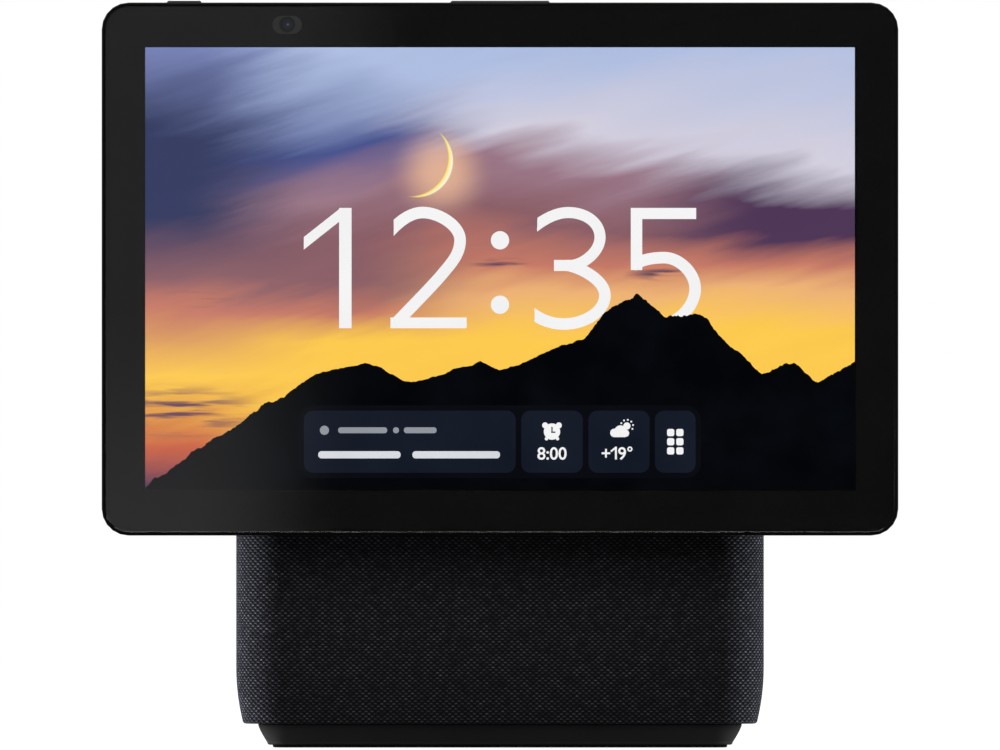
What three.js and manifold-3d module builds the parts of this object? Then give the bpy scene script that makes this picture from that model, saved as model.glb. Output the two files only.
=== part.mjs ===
// A countertop smart display: a 10-inch touch screen that tilts on a friction hinge in front of a
// fabric-covered loudspeaker cabinet with a woofer, two tweeters and two passive radiators.
// Millimetres, +Z up, the screen faces -Y. The origin is the middle of the footprint, on the table.
import * as THREE from "three";
import { mergeVertices } from "three/addons/utils/BufferGeometryUtils.js";
import Module from "manifold-3d";

const wasm = await Module();
wasm.setup();

// ---- Driving dimensions -------------------------------------------------------------------------

// Clearances
const SEAT_GAP = 0.3; // between pieces that seat on each other
const SEAM_GAP = 0.2; // between the glass, the frame and the back cover
const SLIDE_GAP = 0.35; // around what moves

// Cabinet, measured on the fabric
const BODY_WIDTH = 161.1;
const BODY_DEPTH = 126;
const BODY_TOP = 172;
const BODY_BOTTOM = 7.3; // underside of the fabric hem
const FRONT_CORNER = 13.5;
const REAR_CORNER = 26;
const SHOULDER_RADIUS = 16; // rounds the top edge
const TUCK_HEIGHT = 17.2; // the lowest part, where the walls curve in
const TUCK_RADIUS = 59;
const HEM_ROUND = 1.1;
const KNEE_HEIGHT = 100; // the front leans back from here up
const KNEE_RADIUS = 40;
const LEAN_ANGLE = THREE.MathUtils.degToRad(25);
const FABRIC_THICKNESS = 1.2;
const CABINET_WALL = 3;

// Foot
const PLINTH_INSET = 4.3; // how far the top of the plinth stands inside the hem
const PLINTH_TAPER = 3.1;
const PLINTH_CORNER = 9;
const PLINTH_WALL = 2.6;
const RUBBER_BELOW = 0.7; // how far the rubber stands below the plinth
const RUBBER_THICKNESS = 1.8;
const RUBBER_INSET = 0.9;

// Display head
const DISPLAY_WIDTH = 243.6;
const DISPLAY_HEIGHT = 163;
const DISPLAY_BOTTOM = 65.2;
const DISPLAY_CORNER = 8.2;
const STANDOFF = 24; // from the face of the glass to the front of the fabric
const GLASS_THICKNESS = 1.1;
const RIM_WIDTH = 1; // the frame that shows around the glass
const RIM_ROUND = 0.7;
const FRAME_BACK = 6.5; // depths are counted back from the face of the glass
const PANEL_WIDTH = 223;
const PANEL_TOP_MARGIN = 11.4; // from the top of the display to the top of the panel
const PANEL_BOTTOM_MARGIN = 9;
const PANEL_THICKNESS = 2.2;
const BACKLIGHT_THICKNESS = 1.5;
const CHASSIS_THICKNESS = 0.8;
const CHASSIS_LAP = 4;
const CHASSIS_TOP_LAP = 1.2;
const SKIN_BACK = 9.2; // the thin border of the back cover
const BULGE_BACK = 18.8;
const COVER_WALL = 2;
const BULGE_WIDTH = 178;
const BULGE_TOP_MARGIN = 21.5; // from the top of the display
const BULGE_BELOW_PIVOT = 25.3;
const BULGE_CORNER = 26;
const BULGE_FLANK = 12; // width of the sloping flank round the bulge

// Tilt hinge
const PIVOT_HEIGHT = 112;
const PIVOT_DEPTH = 12.2; // from the face of the glass
const PIN_RADIUS = 2.5;
const PIN_CLEARANCE = 0.2;
const EYE_RADIUS = 4;
const TILT_BACK = THREE.MathUtils.degToRad(25);
const TILT_FORWARD = THREE.MathUtils.degToRad(5);
const ARM_SPACING = 43.2; // between the middles of the two arms
const ARM_THICKNESS = 4;
const EAR_THICKNESS = 3;
const WASHER_THICKNESS = 1.2;
const NUT_THICKNESS = 3.4;
const BRACKET_WIDTH = 86;
const BRACKET_THICKNESS = 3;
const BRACKET_DEPTH = 12; // from the front of the fabric to the face of the bracket plate
const BRACKET_BELOW = 16; // below and above the pivot
const BRACKET_ABOVE = 11;
const SHROUD_WIDTH = 62;
const SHROUD_HEIGHT = 20;
const SHROUD_PROUD = 0.8;
const HINGE_PLATE_THICKNESS = 1.5;
const HINGE_PLATE_WIDTH = 58;

// Camera and privacy slider
const CAMERA_X = -65.1;
const CAMERA_DROP = 6.7; // below the top of the display
const LENS_HOLE = 2.45;
const WINDOW_HALF = 4.8;
const SHUTTER_TRAVEL = 7.2;
const KNOB_X = -96.6;
const KNOB_WIDTH = 10.4;
const KNOB_THICKNESS = 2.6;
const BUTTON_PROUD = 0.55; // how far the knob and the rocker stand above the frame

// Volume rocker
const ROCKER_WIDTH = 30.3;
const ROCKER_THICKNESS = 2.8;
const ROCKER_HEIGHT = 4.2;
const ROCKER_PIN_RADIUS = 0.6;
const SWITCH_X = 10.5;

// Loudspeakers
const WOOFER_HEIGHT = 61;
const WOOFER_RADIUS = 36; // of its flange
const TWEETER_X = 56;
const TWEETER_HEIGHT = 40;
const TWEETER_RADIUS = 13.5;
const RADIATOR_LENGTH = 78;
const RADIATOR_HEIGHT = 60;
const RADIATOR_MIDDLE = 84; // height of its centre
const MAGNET_RADIUS = 24;
const SURROUND_WIDTH = 7;

// Power inlet
const JACK_HEIGHT = 25;
const JACK_RADIUS = 3.2;
const PORT_WIDTH = 44;
const PORT_HEIGHT = 20;

// ---- Places worked out from them ----------------------------------------------------------------

const GLASS_FACE = -(BODY_DEPTH + STANDOFF) / 2;
const BODY_FRONT = GLASS_FACE + STANDOFF;
const BODY_BACK = BODY_FRONT + BODY_DEPTH;
const BODY_MIDDLE = (BODY_FRONT + BODY_BACK) / 2;
const DISPLAY_TOP = DISPLAY_BOTTOM + DISPLAY_HEIGHT;
const DISPLAY_MIDDLE = (DISPLAY_BOTTOM + DISPLAY_TOP) / 2;
const CABINET_INSET = FABRIC_THICKNESS + SEAT_GAP;
const INSIDE_INSET = CABINET_INSET + CABINET_WALL;
const PIVOT_Y = GLASS_FACE + PIVOT_DEPTH;
const BULGE_TOP = DISPLAY_TOP - BULGE_TOP_MARGIN;
const BULGE_BOTTOM = PIVOT_HEIGHT - BULGE_BELOW_PIVOT;
const PANEL_TOP = DISPLAY_TOP - PANEL_TOP_MARGIN;
const PANEL_BOTTOM = DISPLAY_BOTTOM + PANEL_BOTTOM_MARGIN;
const glassEdge = RIM_WIDTH;
const glassBack = GLASS_THICKNESS;
const ledgeDepth = glassBack + SEAM_GAP;
const panelFront = ledgeDepth + 0.05;
const panelBack = panelFront + PANEL_THICKNESS;
const backlightBack = panelBack + 0.1 + BACKLIGHT_THICKNESS;
const chassisFront = backlightBack + 0.1;
const depth = (d) => GLASS_FACE + d; // a depth behind the face of the glass
const inside = (d) => BODY_FRONT + d; // a depth behind the front of the fabric

// ---- Materials ----------------------------------------------------------------------------------

const material = (color, roughness, metalness = 0) =>
  new THREE.MeshStandardMaterial({ color, roughness, metalness });
const blackPlastic = material(0x17181a, 0.5);
const satinPlastic = material(0x1c1d1f, 0.4);
const cabinetPlastic = material(0x232427, 0.7);
const fabric = material(0x1b1b1f, 0.95);
const rubber = material(0x101010, 0.9);
const steel = material(0x8e9296, 0.35, 1);
const darkSteel = material(0x3a3c40, 0.5, 1);
const aluminium = material(0xa9adb2, 0.4, 1);
const glass = material(0x0b0c0e, 0.05);
const screen = material(0x2a3557, 0.3);
const board = material(0x14482f, 0.5);
const paper = material(0x26262a, 0.9);
const magnet = material(0x2c2d30, 0.6, 0.5);
const copper = material(0xb06a3b, 0.35, 1);

// ---- Geometry helpers ---------------------------------------------------------------------------

// A closed mesh as a manifold-3d solid.
function solid(geometry) {
  const bare = geometry.index ? geometry.toNonIndexed() : geometry.clone();
  bare.deleteAttribute("normal");
  bare.deleteAttribute("uv");
  const merged = mergeVertices(bare, 1e-4);
  return new wasm.Manifold(
    new wasm.Mesh({
      numProp: 3,
      vertProperties: new Float32Array(merged.attributes.position.array),
      triVerts: new Uint32Array(merged.index.array),
    }),
  );
}

function geometryOf(made) {
  const mesh = made.getMesh();
  const geometry = new THREE.BufferGeometry();
  geometry.setAttribute("position", new THREE.BufferAttribute(mesh.vertProperties, 3));
  geometry.setIndex(new THREE.BufferAttribute(mesh.triVerts, 1));
  geometry.computeVertexNormals();
  return geometry;
}

const join = (...geometries) =>
  geometryOf(geometries.map(solid).reduce((all, next) => all.add(next)));
const cut = (geometry, ...tools) =>
  geometryOf(tools.map(solid).reduce((left, tool) => left.subtract(tool), solid(geometry)));
const common = (a, b) => geometryOf(solid(a).intersect(solid(b)));

// A rounded rectangle as a THREE.Shape, centred on (x, y).
function roundedShape(width, height, radius, x = 0, y = 0) {
  const r = Math.min(radius, width / 2 - 0.01, height / 2 - 0.01);
  const [left, right, low, high] = [x - width / 2, x + width / 2, y - height / 2, y + height / 2];
  const shape = new THREE.Shape();
  shape.absarc(right - r, high - r, r, 0, Math.PI / 2);
  shape.absarc(left + r, high - r, r, Math.PI / 2, Math.PI);
  shape.absarc(left + r, low + r, r, Math.PI, 1.5 * Math.PI);
  shape.absarc(right - r, low + r, r, 1.5 * Math.PI, 2 * Math.PI);
  shape.closePath();
  return shape;
}

// A shape drawn in X and Z, extruded from y0 back to y1.
function alongY(shape, y0, y1, curveSegments = 5) {
  const geometry = new THREE.ExtrudeGeometry(shape, {
    depth: y1 - y0,
    bevelEnabled: false,
    curveSegments,
  });
  return geometry.rotateX(Math.PI / 2).translate(0, y1, 0);
}

// A shape drawn in Y and Z, extruded from x0 to x1.
function alongX(shape, x0, x1, curveSegments = 6) {
  const geometry = new THREE.ExtrudeGeometry(shape, {
    depth: x1 - x0,
    bevelEnabled: false,
    curveSegments,
  });
  return geometry.rotateX(Math.PI / 2).rotateZ(Math.PI / 2).translate(x0, 0, 0);
}

const box = (x0, x1, y0, y1, z0, z1) =>
  new THREE.BoxGeometry(x1 - x0, y1 - y0, z1 - z0).translate(
    (x0 + x1) / 2,
    (y0 + y1) / 2,
    (z0 + z1) / 2,
  );
const rodX = (radius, x0, x1, y, z, sides = 20) =>
  new THREE.CylinderGeometry(radius, radius, x1 - x0, sides)
    .rotateZ(Math.PI / 2)
    .translate((x0 + x1) / 2, y, z);
const rodY = (radius, y0, y1, x, z, sides = 16) =>
  new THREE.CylinderGeometry(radius, radius, y1 - y0, sides).translate(x, (y0 + y1) / 2, z);
const rodZ = (radius, z0, z1, x, y, sides = 12) =>
  new THREE.CylinderGeometry(radius, radius, z1 - z0, sides)
    .rotateX(Math.PI / 2)
    .translate(x, y, (z0 + z1) / 2);

// A body of revolution about a line along Y through (x, z), from a profile of (radius, y).
function turnedY(profile, x, z, segments = 22) {
  const points = profile.map(([r, y]) => new THREE.Vector2(r, y));
  if (THREE.ShapeUtils.area(points) < 0) points.reverse();
  return new THREE.LatheGeometry(points, segments).translate(x, 0, z);
}

// A closed skin over rings of equally many points, anticlockwise seen from the last ring.
function loft(rings) {
  const count = rings[0].length;
  const positions = rings.flat().flatMap((p) => [p.x, p.y, p.z]);
  const index = [];
  for (let r = 0; r + 1 < rings.length; r++) {
    for (let i = 0; i < count; i++) {
      const [a, b] = [r * count + i, r * count + ((i + 1) % count)];
      index.push(a, b, b + count, a, b + count, a + count);
    }
  }
  for (const [ring, flip] of [[0, true], [rings.length - 1, false]]) {
    const middle = new THREE.Vector3();
    rings[ring].forEach((p) => middle.addScaledVector(p, 1 / count));
    const centre = positions.length / 3;
    positions.push(middle.x, middle.y, middle.z);
    for (let i = 0; i < count; i++) {
      const [a, b] = [ring * count + i, ring * count + ((i + 1) % count)];
      index.push(centre, flip ? b : a, flip ? a : b);
    }
  }
  const geometry = new THREE.BufferGeometry();
  geometry.setAttribute("position", new THREE.Float32BufferAttribute(positions, 3));
  geometry.setIndex(index);
  return geometry;
}

// ---- Shared shapes ------------------------------------------------------------------------------

const CORNER_STEPS = 5;

// One level of the cabinet: a rectangle in plan with its own front and rear corner radii.
function planRing(z, halfWidth, front, back, frontRadius, rearRadius) {
  const corners = [
    [halfWidth - rearRadius, back - rearRadius, rearRadius, 0],
    [rearRadius - halfWidth, back - rearRadius, rearRadius, 1],
    [frontRadius - halfWidth, front + frontRadius, frontRadius, 2],
    [halfWidth - frontRadius, front + frontRadius, frontRadius, 3],
  ];
  return corners.flatMap(([x, y, r, quarter]) =>
    Array.from({ length: CORNER_STEPS + 1 }, (_, i) => {
      const a = ((quarter + i / CORNER_STEPS) * Math.PI) / 2;
      return new THREE.Vector3(x + r * Math.cos(a), y + r * Math.sin(a), z);
    }),
  );
}

// How far the front has leant back at a height.
function lean(z) {
  const up = z - KNEE_HEIGHT;
  if (up <= 0) return 0;
  const arcTop = KNEE_RADIUS * Math.sin(LEAN_ANGLE);
  if (up <= arcTop) return KNEE_RADIUS - Math.sqrt(KNEE_RADIUS ** 2 - up ** 2);
  return KNEE_RADIUS * (1 - Math.cos(LEAN_ANGLE)) + (up - arcTop) * Math.tan(LEAN_ANGLE);
}

// How far the walls have curved in at a height, near the foot.
function tuck(z) {
  const down = BODY_BOTTOM + TUCK_HEIGHT - z;
  return down > 0 ? down ** 2 / (2 * TUCK_RADIUS) : 0;
}

// The cabinet's outside, moved inwards by an inset, from a height up to the rounded top.
function cabinetForm(inset, bottom, hemRound = 0) {
  const top = BODY_TOP - inset;
  const shoulder = SHOULDER_RADIUS - inset;
  const kneeTop = KNEE_HEIGHT + KNEE_RADIUS * Math.sin(LEAN_ANGLE);
  const tuckTop = BODY_BOTTOM + TUCK_HEIGHT;
  const levels = [
    ...(hemRound ? [[bottom, hemRound], [bottom + 0.3 * hemRound, 0.3 * hemRound]] : []),
    [bottom + hemRound, 0],
    ...[0.35, 0.65, 1].map((t) => [bottom + hemRound + t * (tuckTop - bottom - hemRound), 0]),
    ...[0, 1 / 3, 2 / 3, 1].map((t) => [KNEE_HEIGHT + t * (kneeTop - KNEE_HEIGHT), 0]),
    ...[0, 0.2, 0.4, 0.6, 0.8, 1].map((t) => {
      const a = (t * Math.PI) / 2;
      return [top - shoulder + shoulder * Math.sin(a), shoulder * (1 - Math.cos(a))];
    }),
  ];
  return loft(
    levels.map(([z, extra]) => {
      const all = inset + tuck(z) + extra;
      return planRing(
        z,
        BODY_WIDTH / 2 - all,
        BODY_FRONT + all + lean(z),
        BODY_BACK - all,
        Math.max(FRONT_CORNER - inset - 0.5 * extra, 2),
        Math.max(REAR_CORNER - inset - 0.9 * extra, 2),
      );
    }),
  );
}

// A ring of the display's outline, a distance in from its edge, at a depth behind the glass face.
function displayRing(d, inFromEdge, steps = CORNER_STEPS) {
  const r = Math.max(DISPLAY_CORNER - inFromEdge, 1);
  const halfWidth = DISPLAY_WIDTH / 2 - inFromEdge;
  const halfHeight = DISPLAY_HEIGHT / 2 - inFromEdge;
  return ringXZ(depth(d), halfWidth, halfHeight, r, DISPLAY_MIDDLE, steps);
}

function ringXZ(y, halfWidth, halfHeight, r, middle, steps = CORNER_STEPS) {
  const signs = [[1, -1], [-1, -1], [-1, 1], [1, 1]];
  return signs.flatMap(([sx, sz], quarter) =>
    Array.from({ length: steps + 1 }, (_, i) => {
      const a = -((quarter + i / steps) * Math.PI) / 2;
      return new THREE.Vector3(
        sx * (halfWidth - r) + r * Math.cos(a),
        y,
        middle + sz * (halfHeight - r) + r * Math.sin(a),
      );
    }),
  );
}

const bodyOf = {}; // each rigid body's pieces, as a group
for (const name of ["base", "display", "rocker", "privacy", "woofer_cone", "radiators"])
  bodyOf[name] = new THREE.Group();

function piece(body, name, geometry, surface) {
  const mesh = new THREE.Mesh(geometry, surface);
  mesh.name = name;
  bodyOf[body].add(mesh);
}

// A pan-head screw along Y: its head spans y0 to y0 + head, its shank runs forward from there.
function screwY(x, z, headFront, head, shank, radius) {
  return join(
    rodY(radius * 1.9, headFront, headFront + head, x, z, 12),
    rodY(radius, headFront - shank, headFront + 0.1, x, z, 10),
  );
}

// ---- Foot: rubber pad and plinth ----------------------------------------------------------------

const hemInset = tuck(BODY_BOTTOM) + HEM_ROUND;
const plinthTop = BODY_BOTTOM - 0.1;

// A level of the plinth, a distance in from its top edge.
const plinthRing = (z, inFromTop) => {
  const all = hemInset - HEM_ROUND + PLINTH_INSET + inFromTop;
  const r = Math.max(PLINTH_CORNER - inFromTop, 1);
  return planRing(z, BODY_WIDTH / 2 - all, BODY_FRONT + all, BODY_BACK - all, r, r);
};
const plinthLevels = [0, 0.35, 0.7, 0.86, 1].map((t) => {
  const z = RUBBER_BELOW + t * (plinthTop - RUBBER_BELOW);
  const chamfer = t === 0 ? 0.8 : 0;
  return [z, PLINTH_TAPER * (1 - t) ** 1.1 + chamfer];
});
const plinthForm = loft(plinthLevels.map(([z, inFromTop]) => plinthRing(z, inFromTop)));
const rubberIn = PLINTH_TAPER + RUBBER_INSET;
const rubberTop = RUBBER_THICKNESS;
const plinthHollow = loft([
  plinthRing(RUBBER_BELOW - 1, rubberIn - 0.2),
  plinthRing(rubberTop + 0.1, rubberIn - 0.2),
  plinthRing(rubberTop + 0.1, rubberIn + PLINTH_WALL),
  plinthRing(plinthTop - PLINTH_WALL, rubberIn + PLINTH_WALL),
]);
piece("base", "foot_plinth", cut(plinthForm, plinthHollow), satinPlastic);
piece(
  "base",
  "rubber_foot",
  loft([plinthRing(0, rubberIn + 0.8), plinthRing(RUBBER_BELOW, rubberIn), plinthRing(rubberTop, rubberIn)]),
  rubber,
);

// ---- Cabinet: tray, shell, fabric ---------------------------------------------------------------

const cabinetBottom = BODY_BOTTOM + CABINET_INSET;
const shroudHole = (gap) =>
  alongY(
    roundedShape(SHROUD_WIDTH + 2 * gap, SHROUD_HEIGHT + 2 * gap, 6, 0, PIVOT_HEIGHT),
    inside(-6),
    inside(40),
  );
const portHole = (gap, y1 = BODY_BACK + 5) =>
  alongY(
    roundedShape(PORT_WIDTH + 2 * gap, PORT_HEIGHT + 2 * gap, 6, 0, JACK_HEIGHT),
    BODY_BACK - 20,
    y1,
  );

const trayRing = (z, more) => {
  const all = INSIDE_INSET + 2 * SEAT_GAP + tuck(cabinetBottom) + more;
  const [rf, rr] = [FRONT_CORNER - INSIDE_INSET, REAR_CORNER - INSIDE_INSET];
  return planRing(z, BODY_WIDTH / 2 - all, BODY_FRONT + all, BODY_BACK - all, rf, rr);
};
const trayTop = cabinetBottom + CABINET_WALL;
const HEM_WIDTH = 12;
const boardPosts = [];
for (const x of [-38, 38])
  for (const y of [BODY_MIDDLE - 6, BODY_BACK - 24])
    boardPosts.push(rodZ(3, trayTop - 0.5, trayTop + 3.2, x, y));
piece(
  "base",
  "base_tray",
  join(
    loft([trayRing(cabinetBottom, 0), trayRing(trayTop, 0)]),
    loft([trayRing(plinthTop + SEAT_GAP, HEM_WIDTH), trayRing(cabinetBottom + 0.5, HEM_WIDTH)]),
    ...boardPosts,
  ),
  cabinetPlastic,
);

const fabricHole = loft([
  trayRing(BODY_BOTTOM - 1, HEM_WIDTH - SEAT_GAP),
  trayRing(BODY_BOTTOM + FABRIC_THICKNESS + 0.5, HEM_WIDTH - SEAT_GAP),
]);
piece(
  "base",
  "fabric_sleeve",
  cut(
    cabinetForm(0, BODY_BOTTOM, HEM_ROUND),
    cabinetForm(FABRIC_THICKNESS, BODY_BOTTOM + FABRIC_THICKNESS),
    fabricHole,
    shroudHole(SEAT_GAP),
    portHole(SEAT_GAP),
  ),
  fabric,
);

const bossPlaces = [];
for (const x of [-38, 38])
  for (const z of [PIVOT_HEIGHT - 11.5, PIVOT_HEIGHT + 7.5]) bossPlaces.push([x, z]);
const bracketFace = inside(BRACKET_DEPTH);
const bosses = bossPlaces.map(([x, z]) => rodY(3.4, inside(2), bracketFace - 0.15, x, z, 12));
const boardBack = BODY_BACK - INSIDE_INSET - 8;
const [boardLow, boardHigh] = [BODY_TOP - 108, BODY_TOP - 24];
const wallPosts = [-46, 46].flatMap((x) =>
  [boardLow + 4, boardHigh - 4].map((z) => rodY(2.5, boardBack + SEAT_GAP, BODY_BACK - INSIDE_INSET + 1, x, z, 10)),
);
const bossedShell = join(
  cut(cabinetForm(CABINET_INSET, cabinetBottom), cabinetForm(INSIDE_INSET, cabinetBottom - 4)),
  ...wallPosts,
  ...bosses.map((boss) => common(boss, cabinetForm(CABINET_INSET, cabinetBottom))),
);
const radiatorShape = (grow) =>
  roundedShape(
    RADIATOR_LENGTH + 2 * grow,
    RADIATOR_HEIGHT + 2 * grow,
    RADIATOR_HEIGHT / 2 + grow,
    BODY_MIDDLE - 6,
    RADIATOR_MIDDLE,
  );
piece(
  "base",
  "cabinet_shell",
  cut(
    bossedShell,
    shroudHole(SEAT_GAP),
    portHole(SEAT_GAP),
    rodY(WOOFER_RADIUS - 3, inside(-5), inside(12), 0, WOOFER_HEIGHT, 24),
    ...[-1, 1].map((s) =>
      rodY(TWEETER_RADIUS - 2.5, inside(-5), inside(12), s * TWEETER_X, TWEETER_HEIGHT, 20),
    ),
    alongX(radiatorShape(-3), -BODY_WIDTH, BODY_WIDTH),
    ...bossPlaces.map(([x, z]) => rodY(1.4, inside(7), bracketFace + 1, x, z, 10)),
  ),
  cabinetPlastic,
);

// ---- Woofer: frame, magnet, surround and the parts that move ------------------------------------

const flangeFront = inside(INSIDE_INSET + 0.2);
const coneEdge = WOOFER_RADIUS - 10;
const coilRadius = 9.6;
const coneDepth = 13;
const basketDepth = 27;
const magnetDepth = 15;
const wooferBack = flangeFront + basketDepth;
piece(
  "base",
  "woofer_frame",
  turnedY(
    [
      [WOOFER_RADIUS - 4, flangeFront],
      [WOOFER_RADIUS, flangeFront],
      [WOOFER_RADIUS, flangeFront + 2.2],
      [WOOFER_RADIUS - 3, flangeFront + 2.2],
      [20, wooferBack - 2],
      [20, wooferBack],
      [14, wooferBack],
      [14, wooferBack - 1.6],
      [18.4, wooferBack - 1.6],
      [18.4, wooferBack - 3],
      [WOOFER_RADIUS - 4.6, flangeFront + 2.2],
      [WOOFER_RADIUS - 4, flangeFront],
    ],
    0,
    WOOFER_HEIGHT,
  ),
  darkSteel,
);
const polePiece = coilRadius - 1.6;
const coilGap = coilRadius + 1;
piece(
  "base",
  "woofer_magnet",
  turnedY(
    [
      [0, wooferBack + 0.2],
      [polePiece, wooferBack + 0.2],
      [polePiece, wooferBack + magnetDepth - 4],
      [coilGap, wooferBack + magnetDepth - 4],
      [coilGap, wooferBack + 0.2],
      [MAGNET_RADIUS, wooferBack + 0.2],
      [MAGNET_RADIUS, wooferBack + magnetDepth],
      [0, wooferBack + magnetDepth],
    ],
    0,
    WOOFER_HEIGHT,
  ),
  magnet,
);
// A half-roll of rubber between two radii.
function halfRoll(inner, outer, y, thickness, steps = 6) {
  const [middle, rollRadius] = [(inner + outer) / 2, (outer - inner) / 2 - 1];
  const arc = (r) =>
    Array.from({ length: steps + 1 }, (_, i) => {
      const a = Math.PI * (1 - i / steps);
      return [middle + r * Math.cos(a), y - r * Math.sin(a)];
    });
  const profile = [
    [inner, y],
    ...arc(rollRadius + thickness / 2),
    [outer, y],
    [outer, y + thickness],
    ...arc(rollRadius - thickness / 2).reverse().map(([r, v]) => [r, v + thickness * 0.5]),
    [inner, y + thickness],
    [inner, y],
  ];
  return profile;
}
piece(
  "base",
  "woofer_surround",
  turnedY(halfRoll(coneEdge + 0.3, WOOFER_RADIUS - 4.9, flangeFront + 1, 0.8), 0, WOOFER_HEIGHT),
  rubber,
);
const coneFront = flangeFront + 1.2;
piece(
  "woofer_cone",
  "woofer_diaphragm",
  turnedY(
    [
      [coilRadius + 0.5, coneFront + coneDepth],
      [coneEdge - 2, coneFront],
      [coneEdge, coneFront],
      [coneEdge, coneFront + 0.9],
      [coneEdge - 1.4, coneFront + 0.9],
      [coilRadius + 0.5, coneFront + coneDepth + 1.4],
      [coilRadius + 0.5, coneFront + coneDepth],
    ],
    0,
    WOOFER_HEIGHT,
  ),
  paper,
);
const capRise = Array.from({ length: 5 }, (_, i) => (i / 4) * (Math.PI / 2));
piece(
  "woofer_cone",
  "woofer_dust_cap",
  turnedY(
    [
      ...capRise.map((a) => [
        (coilRadius - 0.6) * Math.sin(a),
        coneFront + coneDepth - 0.6 - 4 * Math.cos(a),
      ]),
      [coilRadius - 0.6, coneFront + coneDepth],
      [0, coneFront + coneDepth],
    ],
    0,
    WOOFER_HEIGHT,
  ),
  paper,
);
piece(
  "woofer_cone",
  "woofer_voice_coil",
  turnedY(
    [
      [coilRadius - 0.5, coneFront + coneDepth + 0.3],
      [coilRadius + 0.3, coneFront + coneDepth + 0.3],
      [coilRadius + 0.3, wooferBack + 5],
      [coilRadius - 0.5, wooferBack + 5],
      [coilRadius - 0.5, coneFront + coneDepth + 0.3],
    ],
    0,
    WOOFER_HEIGHT,
    20,
  ),
  copper,
);

// ---- Tweeters -----------------------------------------------------------------------------------

for (const [side, name] of [[-1, "left"], [1, "right"]]) {
  const [x, z, y] = [side * TWEETER_X, TWEETER_HEIGHT, flangeFront + 0.5];
  const domeRadius = TWEETER_RADIUS - 5;
  piece(
    "base",
    `tweeter_${name}`,
    turnedY(
      [
        [0, y + 4],
        [domeRadius + 0.4, y + 4],
        [domeRadius + 0.4, y],
        [TWEETER_RADIUS, y],
        [TWEETER_RADIUS, y + 2],
        [TWEETER_RADIUS - 1.5, y + 2],
        [TWEETER_RADIUS - 1.5, y + 13],
        [0, y + 13],
      ],
      x,
      z,
      20,
    ),
    darkSteel,
  );
  piece(
    "base",
    `tweeter_dome_${name}`,
    turnedY(
      [
        ...capRise.map((a) => [domeRadius * Math.sin(a), y + 3.2 - 3.6 * Math.cos(a)]),
        [domeRadius, y + 3.7],
        [0, y + 3.7],
      ],
      x,
      z,
      20,
    ),
    paper,
  );
}

// ---- Passive radiators: a stiff plate in a rubber surround, in each side wall ---------------------

const sideWall = BODY_WIDTH / 2 - INSIDE_INSET - 0.2;
const ringShape = (outer, inner) => {
  const shape = radiatorShape(outer);
  shape.holes.push(radiatorShape(inner));
  return shape;
};
for (const [side, name] of [[-1, "left"], [1, "right"]]) {
  const span = (from, to) => (side > 0 ? [sideWall - to, sideWall - from] : [from - sideWall, to - sideWall]);
  const slab = (shape, from, to) => alongX(shape, ...span(from, to));
  piece("base", `radiator_frame_${name}`, slab(ringShape(4, 0), 0, 4), cabinetPlastic);
  piece(
    "base",
    `radiator_surround_${name}`,
    slab(ringShape(-SEAT_GAP, -SURROUND_WIDTH), 1.2, 2.2),
    rubber,
  );
  piece("radiators", `radiator_plate_${name}`, slab(radiatorShape(-SURROUND_WIDTH - 0.3), 0.4, 3), aluminium);
}

// ---- Electronics --------------------------------------------------------------------------------

piece("base", "main_board", box(-50, 50, boardBack - 1.6, boardBack, boardLow, boardHigh), board);
const [sinkLow, sinkHigh] = [boardHigh - 56, boardHigh - 6];
const sinkBack = boardBack - 1.6 - SEAT_GAP;
const fins = Array.from({ length: 9 }, (_, i) =>
  box(-28 + i * 7 - 0.8, -28 + i * 7 + 0.8, sinkBack - 14, sinkBack - 2.9, sinkLow, sinkHigh),
);
piece("base", "heat_sink", join(box(-30, 30, sinkBack - 3, sinkBack, sinkLow, sinkHigh), ...fins), aluminium);
piece("base", "radio_shield", box(-20, 16, boardBack - 4.4, boardBack - 1.9, boardLow + 3, boardLow + 25), steel);
const ampZ = trayTop + 3.5;
piece("base", "amplifier_board", box(-44, 44, BODY_MIDDLE - 12, BODY_BACK - 19, ampZ, ampZ + 1.6), board);
const jackMouth = BODY_BACK - 8;
piece(
  "base",
  "power_jack",
  join(
    cut(
      box(-6, 6, jackMouth - 12, jackMouth, JACK_HEIGHT - 6, JACK_HEIGHT + 6),
      rodY(JACK_RADIUS, jackMouth - 9.5, jackMouth + 1, 0, JACK_HEIGHT),
    ),
    rodY(1, jackMouth - 10, jackMouth - 1, 0, JACK_HEIGHT, 10),
  ),
  blackPlastic,
);
const portPanel = common(cabinetForm(0.1, BODY_BOTTOM), portHole(0));
const PLUG_ROOM = 6.2;
piece(
  "base",
  "rear_port_panel",
  cut(
    cut(portPanel, box(-PORT_WIDTH, PORT_WIDTH, 0, jackMouth + 0.3, 0, BODY_TOP)),
    rodY(PLUG_ROOM, BODY_BACK - 20, BODY_BACK + 5, 0, JACK_HEIGHT, 24),
  ),
  blackPlastic,
);

// ---- Tilt hinge ---------------------------------------------------------------------------------

const armInner = ARM_SPACING / 2 - ARM_THICKNESS / 2;
const armOuter = ARM_SPACING / 2 + ARM_THICKNESS / 2;
const bore = PIN_RADIUS + PIN_CLEARANCE;
const sides = [-1, 1];
const both = (x0, x1) => sides.map((s) => (s > 0 ? [x0, x1] : [-x1, -x0]));

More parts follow.
